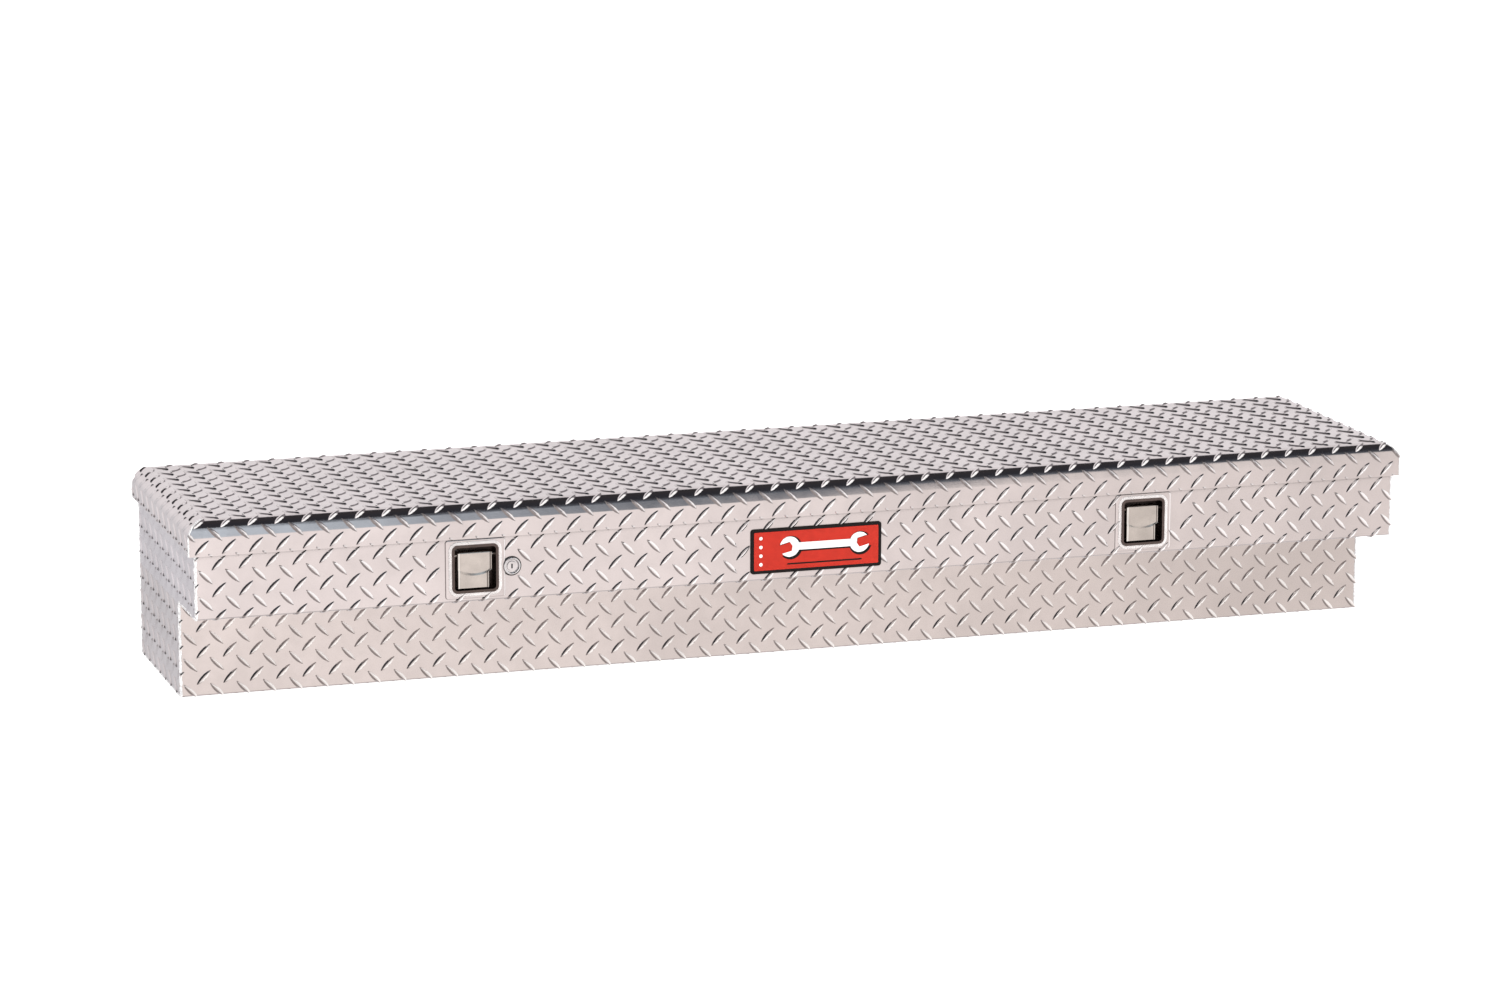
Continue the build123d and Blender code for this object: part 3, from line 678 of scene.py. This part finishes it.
def plate_lugs(name, stretch, phase, place, body, bare_zones=(), folds=(), cuts=(), chosen=LUGS):
    """Raised lugs over a stretch of sheet (u_low, u_high, v_low, v_high).

    The mapping takes u, v and height to points. Lugs get an edge along each fold, given as v,
    and are cut off along planes once in place.
    """
    drawn = flat_lugs(stretch, phase, bare_zones)
    for v in folds:
        everything = drawn.verts[:] + drawn.edges[:] + drawn.faces[:]
        bmesh.ops.bisect_plane(
            drawn, geom=everything, plane_co=(0, v, 0), plane_no=(0, 1, 0), dist=1e-7
        )
    flat = np.array([v.co for v in drawn.verts])
    solid = place(flat[:, 0], flat[:, 1], flat[:, 2])
    for vertex, spot in zip(drawn.verts, solid):
        vertex.co = spot
    for point, outward in cuts:
        trim(drawn, point, outward)
    bmesh.ops.recalc_face_normals(drawn, faces=drawn.faces[:])
    mesh = bpy.data.meshes.new(name)
    drawn.to_mesh(mesh)
    drawn.free()
    made = piece(name, mesh, chosen, body)
    sharpen(made, 60)


class Fold:
    """A folded sheet's outline as flats and arcs, giving (y, z) for a distance along it."""

    def __init__(self, corners, radius):
        self.radius = radius
        self.parts = []
        self.bends = []
        start = Vector(corners[0])
        along = 0.0
        for i in range(1, len(corners)):
            corner = Vector(corners[i])
            ahead = (corner - Vector(corners[i - 1])).normalized()
            last = i == len(corners) - 1
            stop = corner if last else corner - ahead * radius
            length = (stop - start).length
            self.parts.append((along, along + length, start.copy(), ahead.copy(), 0))
            along += length
            if not last:
                turned = (Vector(corners[i + 1]) - corner).normalized()
                side = 1 if ahead.cross(turned) > 0 else -1
                arc = radius * math.pi / 2
                self.parts.append((along, along + arc, stop.copy(), ahead.copy(), side))
                self.bends.append((along, along + arc))
                along += arc
                start = corner + turned * radius
        self.length = along

    def place(self, s, h):
        """Points for distances s along the outline, h proud of it."""
        y = np.zeros_like(s)
        z = np.zeros_like(s)
        for index, (low, high, start, ahead, side) in enumerate(self.parts):
            first = index == 0
            final = index == len(self.parts) - 1
            inside = ((s >= low) | first) & ((s < high) | final)
            t = s[inside] - low
            out = Vector((ahead.y, -ahead.x))
            if side == 0:
                y[inside] = start.x + ahead.x * t + out.x * h[inside]
                z[inside] = start.y + ahead.y * t + out.y * h[inside]
                continue
            centre = start - out * self.radius * side
            turn = side * t / self.radius
            nx = out.x * np.cos(turn) - out.y * np.sin(turn)
            ny = out.x * np.sin(turn) + out.y * np.cos(turn)
            reach = side * self.radius + h[inside]
            y[inside] = centre.x + nx * reach
            z[inside] = centre.y + ny * reach
        return y, z


BODY_FOLD = Fold(
    [
        (FRONT_Y, RIM_Z),
        (FRONT_Y, STEP_Z),
        (LEDGE_Y, STEP_Z),
        (LEDGE_Y, 0),
        (BACK_Y, 0),
        (BACK_Y, RIM_Z),
    ],
    BEND,
)


def front_zone(x_low, x_high, z_low, z_high):
    """Stretch of the body's upper front, in the body sheet's own coordinates."""
    return x_low, x_high, z_low - RIM_Z, z_high - RIM_Z


def bare_front_zones():
    """Where the front has no lugs: round each latch, a spot beside it and under the badge."""
    zones = []
    for centre in LATCH_CENTRES.values():
        zones.append(front_zone(
            centre.x - BARE_LATCH_HALF_WIDTH,
            centre.x + BARE_LATCH_HALF_WIDTH,
            centre.z - BARE_BELOW_LATCH,
            centre.z + BARE_ABOVE_LATCH,
        ))
        lock_x = centre.x + LOCK_FROM_LATCH
        zones.append(front_zone(
            lock_x - BARE_LOCK_HALF,
            lock_x + BARE_LOCK_HALF,
            centre.z - BARE_LOCK_HALF,
            centre.z + BARE_LOCK_HALF,
        ))
    zones.append(front_zone(
        BADGE_LOW.x + LUGS_UNDER_BADGE_SIDES,
        BADGE_HIGH.x - LUGS_UNDER_BADGE_SIDES,
        BADGE_LOW.z + LUGS_UNDER_BADGE_EDGES,
        BADGE_HIGH.z - LUGS_UNDER_BADGE_EDGES,
    ))
    return zones


def body_lugs():
    """Tread pattern over the folded body sheet."""
    def place(u, v, h):
        y, z = BODY_FOLD.place(-v, h)
        return np.stack([u, y, z], 1)

    folds = [-s for low, high in BODY_FOLD.bends for s in (low, (low + high) / 2, high)]
    last = BODY_FOLD.length - (RIM_Z - HINGE_LEAF_LOW) - LUGS_OFF_HINGE
    stretch = (-SHELL_X - SHEET, SHELL_X + SHEET, -last, -LUGS_BELOW_RIM)
    plate_lugs("body_lugs", stretch, BODY_PHASE, place, "box", bare_front_zones(), folds)


def end_lugs(side, sign):
    """Tread pattern on one stepped end plate."""
    def place(u, v, h):
        return np.stack([sign * (END_X + h), u, v], 1)

    gap = LUGS_OFF_END_EDGE
    upper = (FRONT_Y + gap, BACK_Y - gap, STEP_Z + gap, RIM_Z - gap)
    lower = (LEDGE_Y + gap, BACK_Y - gap, gap, STEP_Z + gap)
    for part, stretch in (("upper_", upper), ("lower_", lower)):
        plate_lugs("end_lugs_" + part + side, stretch, END_PHASE, place, "box", chosen=END_LUGS)


def roll(distance, height):
    """Sideways and downward travel over the lid's roll for a distance past its start."""
    past = np.maximum(distance, 0)
    turn = np.minimum(past / LID_ROLL, math.pi / 2)
    extra = np.maximum(past - LID_ROLL * math.pi / 2, 0)
    reach = LID_ROLL + height
    return reach * np.sin(turn), reach * np.cos(turn) - LID_ROLL - extra


def lid_lugs():
    """Tread pattern over the lid's top, rolled front and rolled ends, mitred at the corners."""
    tangent_y = LID_FRONT + LID_ROLL
    tangent_x = LID_X - LID_ROLL
    arc = LID_ROLL * math.pi / 2
    flange = LID_TOP - LID_ROLL - LID_EDGE
    end_flange = LID_TOP - LID_ROLL - LID_END_EDGE
    phase = (LID_PHASE_X, tangent_y - arc - LID_PHASE_BELOW_ROLL)
    rear = BACK_Y - LUGS_OFF_LID_BACK

    def front(u, v, h):
        out, z = roll(tangent_y - v, h)
        y = np.where(v > tangent_y, v, tangent_y) - out
        return np.stack([u, y, LID_TOP + z], 1)

    top = (-tangent_x, tangent_x, tangent_y, rear)
    plate_lugs("lid_lugs_top", top, phase, front, "lid")
    below = (-LID_X, LID_X, tangent_y - arc - flange + LUGS_OFF_LID_EDGE, tangent_y)
    mitres = [((sign * tangent_x, tangent_y, 0), (sign, 1, 0)) for sign in (-1, 1)]
    folds = [tangent_y - arc * i / 6 for i in range(7)]
    plate_lugs("lid_lugs_front", below, phase, front, "lid", folds=folds, cuts=mitres)

    for side, sign in (("left", -1), ("right", 1)):
        def end(u, v, h, sign=sign):
            out, z = roll(sign * u - tangent_x, h)
            return np.stack([sign * (tangent_x + out), v, LID_TOP + z], 1)

        reach = tangent_x + arc + end_flange - LUGS_OFF_LID_EDGE
        low, high = sorted((sign * tangent_x, sign * reach))
        stretch = (low, high, LID_FRONT, rear)
        mitre = ((sign * tangent_x, tangent_y, 0), (-sign, -1, 0))
        plate_lugs("lid_lugs_" + side, stretch, phase, end, "lid", cuts=[mitre])


# ---------------------------------------------------------------- seams and edges

def bead(name, points, radius, body):
    """Uneven round weld bead swept through points."""
    loops = []
    for index, point in enumerate(points):
        here = Vector(point)
        before = Vector(points[max(index - 1, 0)])
        after = Vector(points[min(index + 1, len(points) - 1)])
        ahead = (after - before).normalized()
        side = ahead.cross(Vector((1, 0, 0)))
        if side.length < 0.1:
            side = ahead.cross(Vector((0, 0, 1)))
        side.normalize()
        other = ahead.cross(side).normalized()
        size = radius * (1 + sum(share * math.sin(index * pace) for share, pace in BEAD_WAVES))
        turns = [2 * math.pi * i / BEAD_POINTS for i in range(BEAD_POINTS)]
        loops.append([
            here + side * size * math.cos(turn) + other * size * math.sin(turn) for turn in turns
        ])
    vertices, faces = loft(loops)
    make(name, vertices, faces, WELD, "aluminium_sheet", body)


def body_bead(side, sign):
    """Weld bead along the joint between the folded sheet and one end plate."""
    count = int(BODY_FOLD.length / BODY_BEAD_STEP)
    s = np.linspace(BODY_BEAD_MARGIN, BODY_FOLD.length - BODY_BEAD_MARGIN, count)
    y, z = BODY_FOLD.place(s, np.full(count, -BODY_BEAD_DEPTH))
    wobble = BODY_BEAD_WOBBLE * np.sin(np.arange(count) * BODY_BEAD_WOBBLE_PACE)
    x = sign * (END_X - BODY_BEAD_DEPTH + wobble)
    bead("weld_bead_" + side, list(zip(x, y, z)), BODY_BEAD_RADIUS, "box")


def lid_bead(side, sign):
    """Ground weld down one front corner of the lid, over the roll and along the flange."""
    radius = LID_ROLL - LID_BEAD_DEPTH
    points = []
    for i in range(LID_BEAD_ROLL_STEPS + 1):
        share = i / LID_BEAD_ROLL_STEPS
        turn = math.radians(LID_BEAD_START_DEGREES + (90 - LID_BEAD_START_DEGREES) * share)
        out = radius * math.sin(turn)
        down = LID_ROLL - radius * math.cos(turn)
        x = sign * (LID_X - LID_ROLL + out)
        points.append((x, LID_FRONT + LID_ROLL - out, LID_TOP - down))
    flange = LID_TOP - LID_ROLL - LID_EDGE - LID_BEAD_END_GAP
    for i in range(1, LID_BEAD_FLANGE_STEPS + 1):
        x = sign * (LID_X - LID_BEAD_DEPTH)
        z = LID_TOP - LID_ROLL - flange * i / LID_BEAD_FLANGE_STEPS
        points.append((x, LID_FRONT + LID_BEAD_DEPTH, z))
    bead("lid_corner_weld_" + side, points, LID_BEAD_RADIUS, "lid")


# ---------------------------------------------------------------- latches

def latch_flat(side, centre):
    """Sheet pressed smooth round the latch, a little proud and with a soft step at its edge."""
    width, height, radius = LATCH_FLAT
    loops = []
    for inset, y in LATCH_FLAT_STEPS:
        outline = rounded_loop(width - 2 * inset, height - 2 * inset, radius)
        loops.append(at_depth(outline, FRONT_Y + y, centre.x, centre.z))
    hole = rounded_loop(*LATCH_FLAT_HOLE)
    for y in (LATCH_FLAT_STEPS[-1][1], 0.0):
        loops.append(at_depth(hole, FRONT_Y + y, centre.x, centre.z))
    vertices, faces = loft(loops, ring=True)
    flat = make("latch_flat_" + side, vertices, faces, PLATE, "aluminium_sheet", "box")
    sharpen(flat, 40)


def latch_rim(side, centre):
    """Rounded bead pressed round the latch opening."""
    width, height, radius = LATCH_OPENING
    loops = []
    for out, y in LATCH_RIM_STEPS:
        outline = rounded_loop(width + out, height + out, radius + out / 2)
        loops.append(at_depth(outline, FRONT_Y + y, centre.x, centre.z))
    vertices, faces = loft(loops, ring=True)
    make("latch_rim_" + side, vertices, faces, SATIN, "stainless", "box")


def cover_rise(x, z, edge, height):
    """How far the cover stands proud: side lips, and a raised field below an arc-shaped crease."""
    lip = LIP_HEIGHT * math.exp(-((edge - LIP_INSET) / LIP_SPREAD) ** 2)
    crease = CREASE_Z + CREASE_CURVE * x * x
    field = CREASE_HEIGHT / (1 + math.exp(-(crease - z) / CREASE_SPREAD))
    rim = max(0.0, min(edge, height / 2 - abs(z)))
    return (COVER_THICKNESS + lip + field) * min(1.0, rim / COVER_ROUNDING) ** 0.5


def cover_points(side, centre):
    """Front points of the cover row by row, narrower beside the finger notch at the lower right."""
    low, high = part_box("paddle_" + side)
    width = high.x - low.x
    height = high.z - low.z
    middle = Vector((centre.x, 0, (low.z + high.z) / 2))
    points = []
    for j in range(COVER_SQUARES + 1):
        z = height * (j / COVER_SQUARES - 0.5)
        share = (NOTCH_HEIGHT - height / 2 - z) / NOTCH_ROUNDING
        right = width / 2 - NOTCH_WIDTH * min(1.0, max(0.0, share))
        for i in range(COVER_SQUARES + 1):
            x = -width / 2 + (width / 2 + right) * i / COVER_SQUARES
            edge = min(x + width / 2, right - x)
            y = low.y - cover_rise(x, z, edge, height)
            points.append((middle.x + x, y, middle.z + z))
    return points


def grid_faces(size):
    """Quads over a square grid of size by size points."""
    faces = []
    for j in range(size - 1):
        for i in range(size - 1):
            a = j * size + i
            faces.append((a, a + 1, a + size + 1, a + size))
    return faces


def grid_border(size):
    """Indices round the border of a square grid of points, in order."""
    border = list(range(size))
    border += [j * size + size - 1 for j in range(1, size)]
    border += [(size - 1) * size + i for i in range(size - 2, -1, -1)]
    border += [j * size for j in range(size - 2, 0, -1)]
    return border


def paddle_face(side, centre):
    """Pressed cover of the pull handle, closed at the back."""
    vertices = cover_points(side, centre)
    faces = grid_faces(COVER_SQUARES + 1)
    border = grid_border(COVER_SQUARES + 1)
    start = len(vertices)
    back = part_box("paddle_" + side)[0].y + COVER_BACK
    vertices += [(vertices[index][0], back, vertices[index][2]) for index in border]
    total = len(border)
    for k in range(total):
        n = (k + 1) % total
        faces.append((border[n], border[k], start + k, start + n))
    faces.append(tuple(range(start, start + total)))
    name = "paddle_face_" + side
    cover = make(name, vertices, faces, POLISHED, "stainless", "paddle_" + side)
    sharpen(cover, 50)


# ---------------------------------------------------------------- lock

def turned_ring(profile, centre):
    """Vertices and faces of a ring turned about an axis along Y, from radius and y."""
    return loft(
        [at_depth(circle(centre.x, centre.z, radius, LOCK_POINTS), y) for radius, y in profile],
        ring=True,
    )


def lock_ring(centre):
    """Lock housing turned as one piece: rounded front ring, sunk face, barrel and bore."""
    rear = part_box("lock_barrel")[1].y
    profile = [(LOCK_BORE_RADIUS, rear), *LOCK_FRONT, (LOCK_RING_RADIUS, FRONT_Y)]
    profile += [(LOCK_BARREL_RADIUS, FRONT_Y), (LOCK_BARREL_RADIUS, rear)]
    ring = make("lock_ring", *turned_ring(profile, centre), CHROME, "chrome", "box")
    sharpen(ring, 50)
    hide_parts("lock_barrel")


def lock_washer(centre):
    """Thin rubber ring that shows round the lock housing."""
    profile = [(radius, FRONT_Y + y) for radius, y in WASHER_STEPS]
    make("lock_washer", *turned_ring(profile, centre), RUBBER, "rubber", "box", smooth=False)


def keyhole():
    """Black upright slot shape set into the front of the lock's plug: painted shade for the keyway.
    """
    low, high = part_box("lock_plug")
    middle = (low + high) / 2
    outline = rounded_loop(*KEYHOLE, count=4)
    loops = [
        at_depth(outline, y, middle.x, middle.z)
        for y in (low.y + KEYHOLE_DEPTH, low.y - KEYHOLE_PROUD)
    ]
    make("keyhole", *loft(loops), BLACK, "black_paint", "lock_plug", smooth=False)


# ---------------------------------------------------------------- badge

def flat_piece(name, outline, y_back, y_front, chosen, edge=PRINT_EDGE):
    """Plate from a front-facing outline with softened front edges."""
    inner = []
    for index, (x, z) in enumerate(outline):
        before = Vector(outline[index - 1])
        after = Vector(outline[(index + 1) % len(outline)])
        along = (after - before).normalized()
        inner.append((x - along.y * edge, z + along.x * edge))
    loops = [
        at_depth(outline, y_back),
        at_depth(outline, y_front + edge),
        at_depth(inner, y_front),
    ]
    return make(name, *loft(loops), chosen, "badge_face", "box", smooth=False)


def wrench_head():
    """Outline of a tilted wrench head of unit radius, its jaw open to the right."""
    first = math.asin(JAW_HALF_WIDTH)
    last = 2 * math.pi - first
    turns = [first + (last - first) * i / HEAD_STEPS for i in range(HEAD_STEPS + 1)]
    outline = [(math.cos(turn), math.sin(turn)) for turn in turns]
    outline += [(JAW_CORNER, -JAW_HALF_WIDTH), (JAW_HEEL, 0.0), (JAW_CORNER, JAW_HALF_WIDTH)]
    cos, sin = math.cos(HEAD_TILT), math.sin(HEAD_TILT)
    return [(a * cos - b * sin, a * sin + b * cos) for a, b in outline]


def wrench(name, x, z, length, size, y_back, chosen):
    """Plain double open-ended wrench lying along X: two tilted heads joined by a bar.

    The bar stands a little further out, so that no two faces share a plane.
    """
    y_front = y_back - PRINT_HEIGHT
    for end, sign in (("_left", -1), ("_right", 1)):
        head_x = x + sign * (length / 2 - size)
        points = [(head_x + sign * size * a, z + sign * size * b) for a, b in wrench_head()]
        flat_piece(name + end, points, y_back, y_front, chosen)
    bar = rounded_loop(length - BAR_SHORTER * size, BAR_WIDTH * size, BAR_ROUNDING)
    points = [(x + a, z + b) for a, b in bar]
    flat_piece(name + "_bar", points, y_back, y_front - BAR_LIFT, chosen)


def badge():
    """Printed plate: black border, red field, a column of dots and a wrench sign."""
    centre = (BADGE_LOW + BADGE_HIGH) / 2
    width = BADGE_HIGH.x - BADGE_LOW.x
    height = BADGE_HIGH.z - BADGE_LOW.z
    face = FRONT_Y - BADGE_THICKNESS
    red = face - FIELD_HEIGHT

    def shifted(outline, x=0.0, z=0.0):
        return [(centre.x + x + a, centre.z + z + b) for a, b in outline]

    plate = shifted(rounded_loop(width, height, BADGE_RADIUS))
    base = flat_piece("badge_plate", plate, FRONT_Y, face, BADGE_BLACK, BADGE_EDGE)
    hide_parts("badge")
    field = rounded_loop(width - 2 * BADGE_BORDER, height - 2 * BADGE_BORDER, FIELD_RADIUS)
    flat_piece("badge_field", shifted(field), face, red, BADGE_RED, FIELD_EDGE)
    for k in range(DOT_COUNT):
        z = centre.z + ((DOT_COUNT - 1) / 2 - k) * DOT_PITCH
        dot = circle(BADGE_LOW.x + DOT_INSET, z, DOT_RADIUS)
        flat_piece("badge_dot_%d" % k, dot, face, face - DOT_HEIGHT, BADGE_WHITE, FIELD_EDGE)
    sign_x = centre.x + SIGN_X
    sign_z = centre.z + SIGN_Z
    shadow_x, shadow_z = SHADOW_OFFSET
    wrench("badge_shadow", sign_x + shadow_x, sign_z + shadow_z, *SHADOW_SIZE, red, BADGE_BLACK)
    wrench("badge_sign", sign_x, sign_z, *SIGN_SIZE, red - 2 * PRINT_HEIGHT, BADGE_WHITE)
    line = shifted(rounded_loop(*LINE_SIZE), SIGN_X, LINE_Z)
    flat_piece("badge_line", line, red, red - PRINT_HEIGHT, BADGE_BLACK)


# ---------------------------------------------------------------- studio

def studio():
    """Pale floor, soft lights, what the metal mirrors and the camera."""
    bpy.ops.mesh.primitive_plane_add(size=FLOOR_SIZE, location=(0, 0, FLOOR_Z))
    floor = bpy.context.object
    floor.name = "studio_floor"
    made, tree, shader = material("studio_floor")
    shader.inputs["Roughness"].default_value = 0.8
    grain = noise(tree, scale=3, detail=3)
    tree.links.new(ramp(tree, grain, [(0.3, 0.88), (0.7, 0.90)]), shader.inputs["Base Color"])
    shader.inputs["Emission Color"].default_value = (1, 1, 1, 1)
    shader.inputs["Emission Strength"].default_value = 0.80
    floor.data.materials.append(made)
    floor.visible_glossy = False
    floor.visible_shadow = False
    soft_light("key", (-2.2, -2.6, 3.4), size=3.0, power=150)
    soft_light("fill", (3.4, -1.8, 2.4), size=2.4, power=90)
    soft_light("back", (0.5, 3.4, 2.8), size=3.0, power=90)
    world()
    camera()


def soft_light(name, place, size, power):
    """Square soft box aimed at the object's middle."""
    data = bpy.data.lights.new(name, "AREA")
    data.size = size
    data.energy = power
    made = bpy.data.objects.new(name, data)
    made.location = place
    aim = Vector(LIGHT_TARGET) - Vector(place)
    made.rotation_euler = aim.to_track_quat("-Z", "Y").to_euler()
    bpy.context.scene.collection.objects.link(made)
    made.visible_glossy = False
    made.visible_camera = False


def mirrored_floor(tree, x, z):
    """Floor towards the camera: pale, white on the far right, darker to the left and below."""
    shown = mix(tree, between(tree, x, 0.17, 0.45), (1.05, 0.965, 0.94), (0.83, 0.755, 0.725))
    shown = mix(tree, between(tree, x, 0.47, 0.62), shown, WHITE_PANEL)
    shown = mix(tree, between(tree, z, -0.74, -0.86), shown, (0.60, 0.55, 0.53))
    return mix(tree, between(tree, x, 0.05, -0.20), shown, (0.34, 0.30, 0.29))


def mirrored_wall(tree, x):
    """Wall towards the camera: dark, with a blue-grey, a pale and a white stretch."""
    shown = mix(tree, between(tree, x, 0.195, 0.30), (0.66, 0.73, 0.80), (0.14, 0.15, 0.17))
    shown = mix(tree, between(tree, x, 0.08, 0.16), (0.05, 0.05, 0.055), shown)
    left = both(tree, between(tree, x, -0.36, -0.29), between(tree, x, -0.05, -0.15))
    shown = mix(tree, left, shown, (0.80, 0.74, 0.72))
    return mix(tree, between(tree, x, 0.50, 0.66), shown, (1.20, 1.18, 1.17))


def mirrored_front(tree, x, z):
    """Towards the camera: floor, a low pale wall up to a bent line, a wall and a dark ceiling."""
    first_rise = both(tree, between(tree, x, 0.318, 0.352), 0.60)
    last_rise = both(tree, between(tree, x, 0.365, 0.415), 0.26)
    line = calc(tree, "ADD", first_rise, last_rise)
    line = both(tree, line, between(tree, x, 0.52, 0.46))
    corner = both(tree, between(tree, x, 0.222, 0.204), between(tree, x, 0.10, 0.16))
    top_line = calc(tree, "ADD", 0.72, both(tree, corner, 0.16))
    ceiling = mix(tree, between(tree, z, 0.72, 0.90), (0.10, 0.11, 0.13), (0.030, 0.030, 0.036))
    ceiling = mix(tree, between(tree, x, 0.50, 0.66), ceiling, WHITE_PANEL)
    shown = mix(tree, between(tree, z, 0.0, 0.04), mirrored_floor(tree, x, z), (0.84, 0.77, 0.74))
    over_line = between(tree, calc(tree, "SUBTRACT", z, line), 0.02, 0.06)
    shown = mix(tree, over_line, shown, mirrored_wall(tree, x))
    over_top = between(tree, calc(tree, "SUBTRACT", z, top_line), -0.03, 0.03)
    return mix(tree, over_top, shown, ceiling)


def mirrored_back(tree, x, z):
    """Behind the box: a pale wall with a grey patch, white to the lower right, dark ceiling."""
    wall = mix(tree, between(tree, z, -0.20, 0.10), (0.68, 0.66, 0.68), (0.84, 0.80, 0.81))
    patch = both(tree, between(tree, x, 0.46, 0.55), between(tree, z, 0.30, 0.42))
    wall = mix(tree, patch, wall, (0.22, 0.20, 0.21))
    ceiling = mix(tree, between(tree, x, 0.02, 0.12), (0.14, 0.13, 0.135), (0.035, 0.032, 0.036))
    ceiling = mix(tree, between(tree, x, 0.72, 0.86), ceiling, WHITE_PANEL)
    shown = mix(tree, between(tree, z, 0.74, 0.81), wall, ceiling)
    low_right = both(tree, between(tree, x, 0.40, 0.60), between(tree, z, -0.25, -0.45))
    return mix(tree, low_right, shown, WHITE_PANEL)


def world():
    """Surroundings: white to the camera, and a made-up studio where the metal mirrors them."""
    made = bpy.data.worlds.new("studio")
    bpy.context.scene.world = made
    made.use_nodes = True
    tree = made.node_tree
    x, y, z = direction(tree, "Generated")
    front = mirrored_front(tree, x, z)
    mirrored = mix(tree, between(tree, y, -0.10, 0.12), front, mirrored_back(tree, x, z))
    paths = node(tree, "ShaderNodeLightPath")
    shown = mix(tree, paths.outputs["Is Camera Ray"], mirrored, (1.0, 1.0, 1.0))
    surface = tree.nodes["Background"]
    tree.links.new(shown, surface.inputs["Color"])
    surface.inputs["Strength"].default_value = 1.0


def camera():
    """Long-lens camera at the photograph's viewing angle."""
    level = math.cos(CAMERA_PITCH)
    ahead = Vector((
        math.sin(CAMERA_YAW) * level, math.cos(CAMERA_YAW) * level, -math.sin(CAMERA_PITCH)
    ))
    across = Vector((math.cos(CAMERA_YAW), -math.sin(CAMERA_YAW), 0))
    upward = across.cross(ahead)
    right = across * math.cos(CAMERA_TILT) + upward * math.sin(CAMERA_TILT)
    upright = upward * math.cos(CAMERA_TILT) - across * math.sin(CAMERA_TILT)
    data = bpy.data.cameras.new("camera")
    data.lens = CAMERA_LENS_MM
    data.sensor_width = CAMERA_SENSOR_MM
    data.clip_end = 100
    made = bpy.data.objects.new("camera", data)
    aimed = Matrix((right, upright, -ahead)).transposed().to_4x4()
    made.matrix_world = Matrix.Translation(CAMERA_PLACE) @ aimed
    bpy.context.scene.collection.objects.link(made)
    bpy.context.scene.camera = made


# ---------------------------------------------------------------- build everything

bpy.context.scene.view_settings.view_transform = "Standard"
dress_nodes()
body_lugs()
lid_lugs()
for name, sign in (("left", -1), ("right", 1)):
    end_lugs(name, sign)
    body_bead(name, sign)
    lid_bead(name, sign)
for name, middle in LATCH_CENTRES.items():
    latch_flat(name, middle)
    latch_rim(name, middle)
    paddle_face(name, middle)
LOCK_LOW, LOCK_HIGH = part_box("lock_barrel")
lock_ring((LOCK_LOW + LOCK_HIGH) / 2)
lock_washer((LOCK_LOW + LOCK_HIGH) / 2)
keyhole()
badge()
studio()
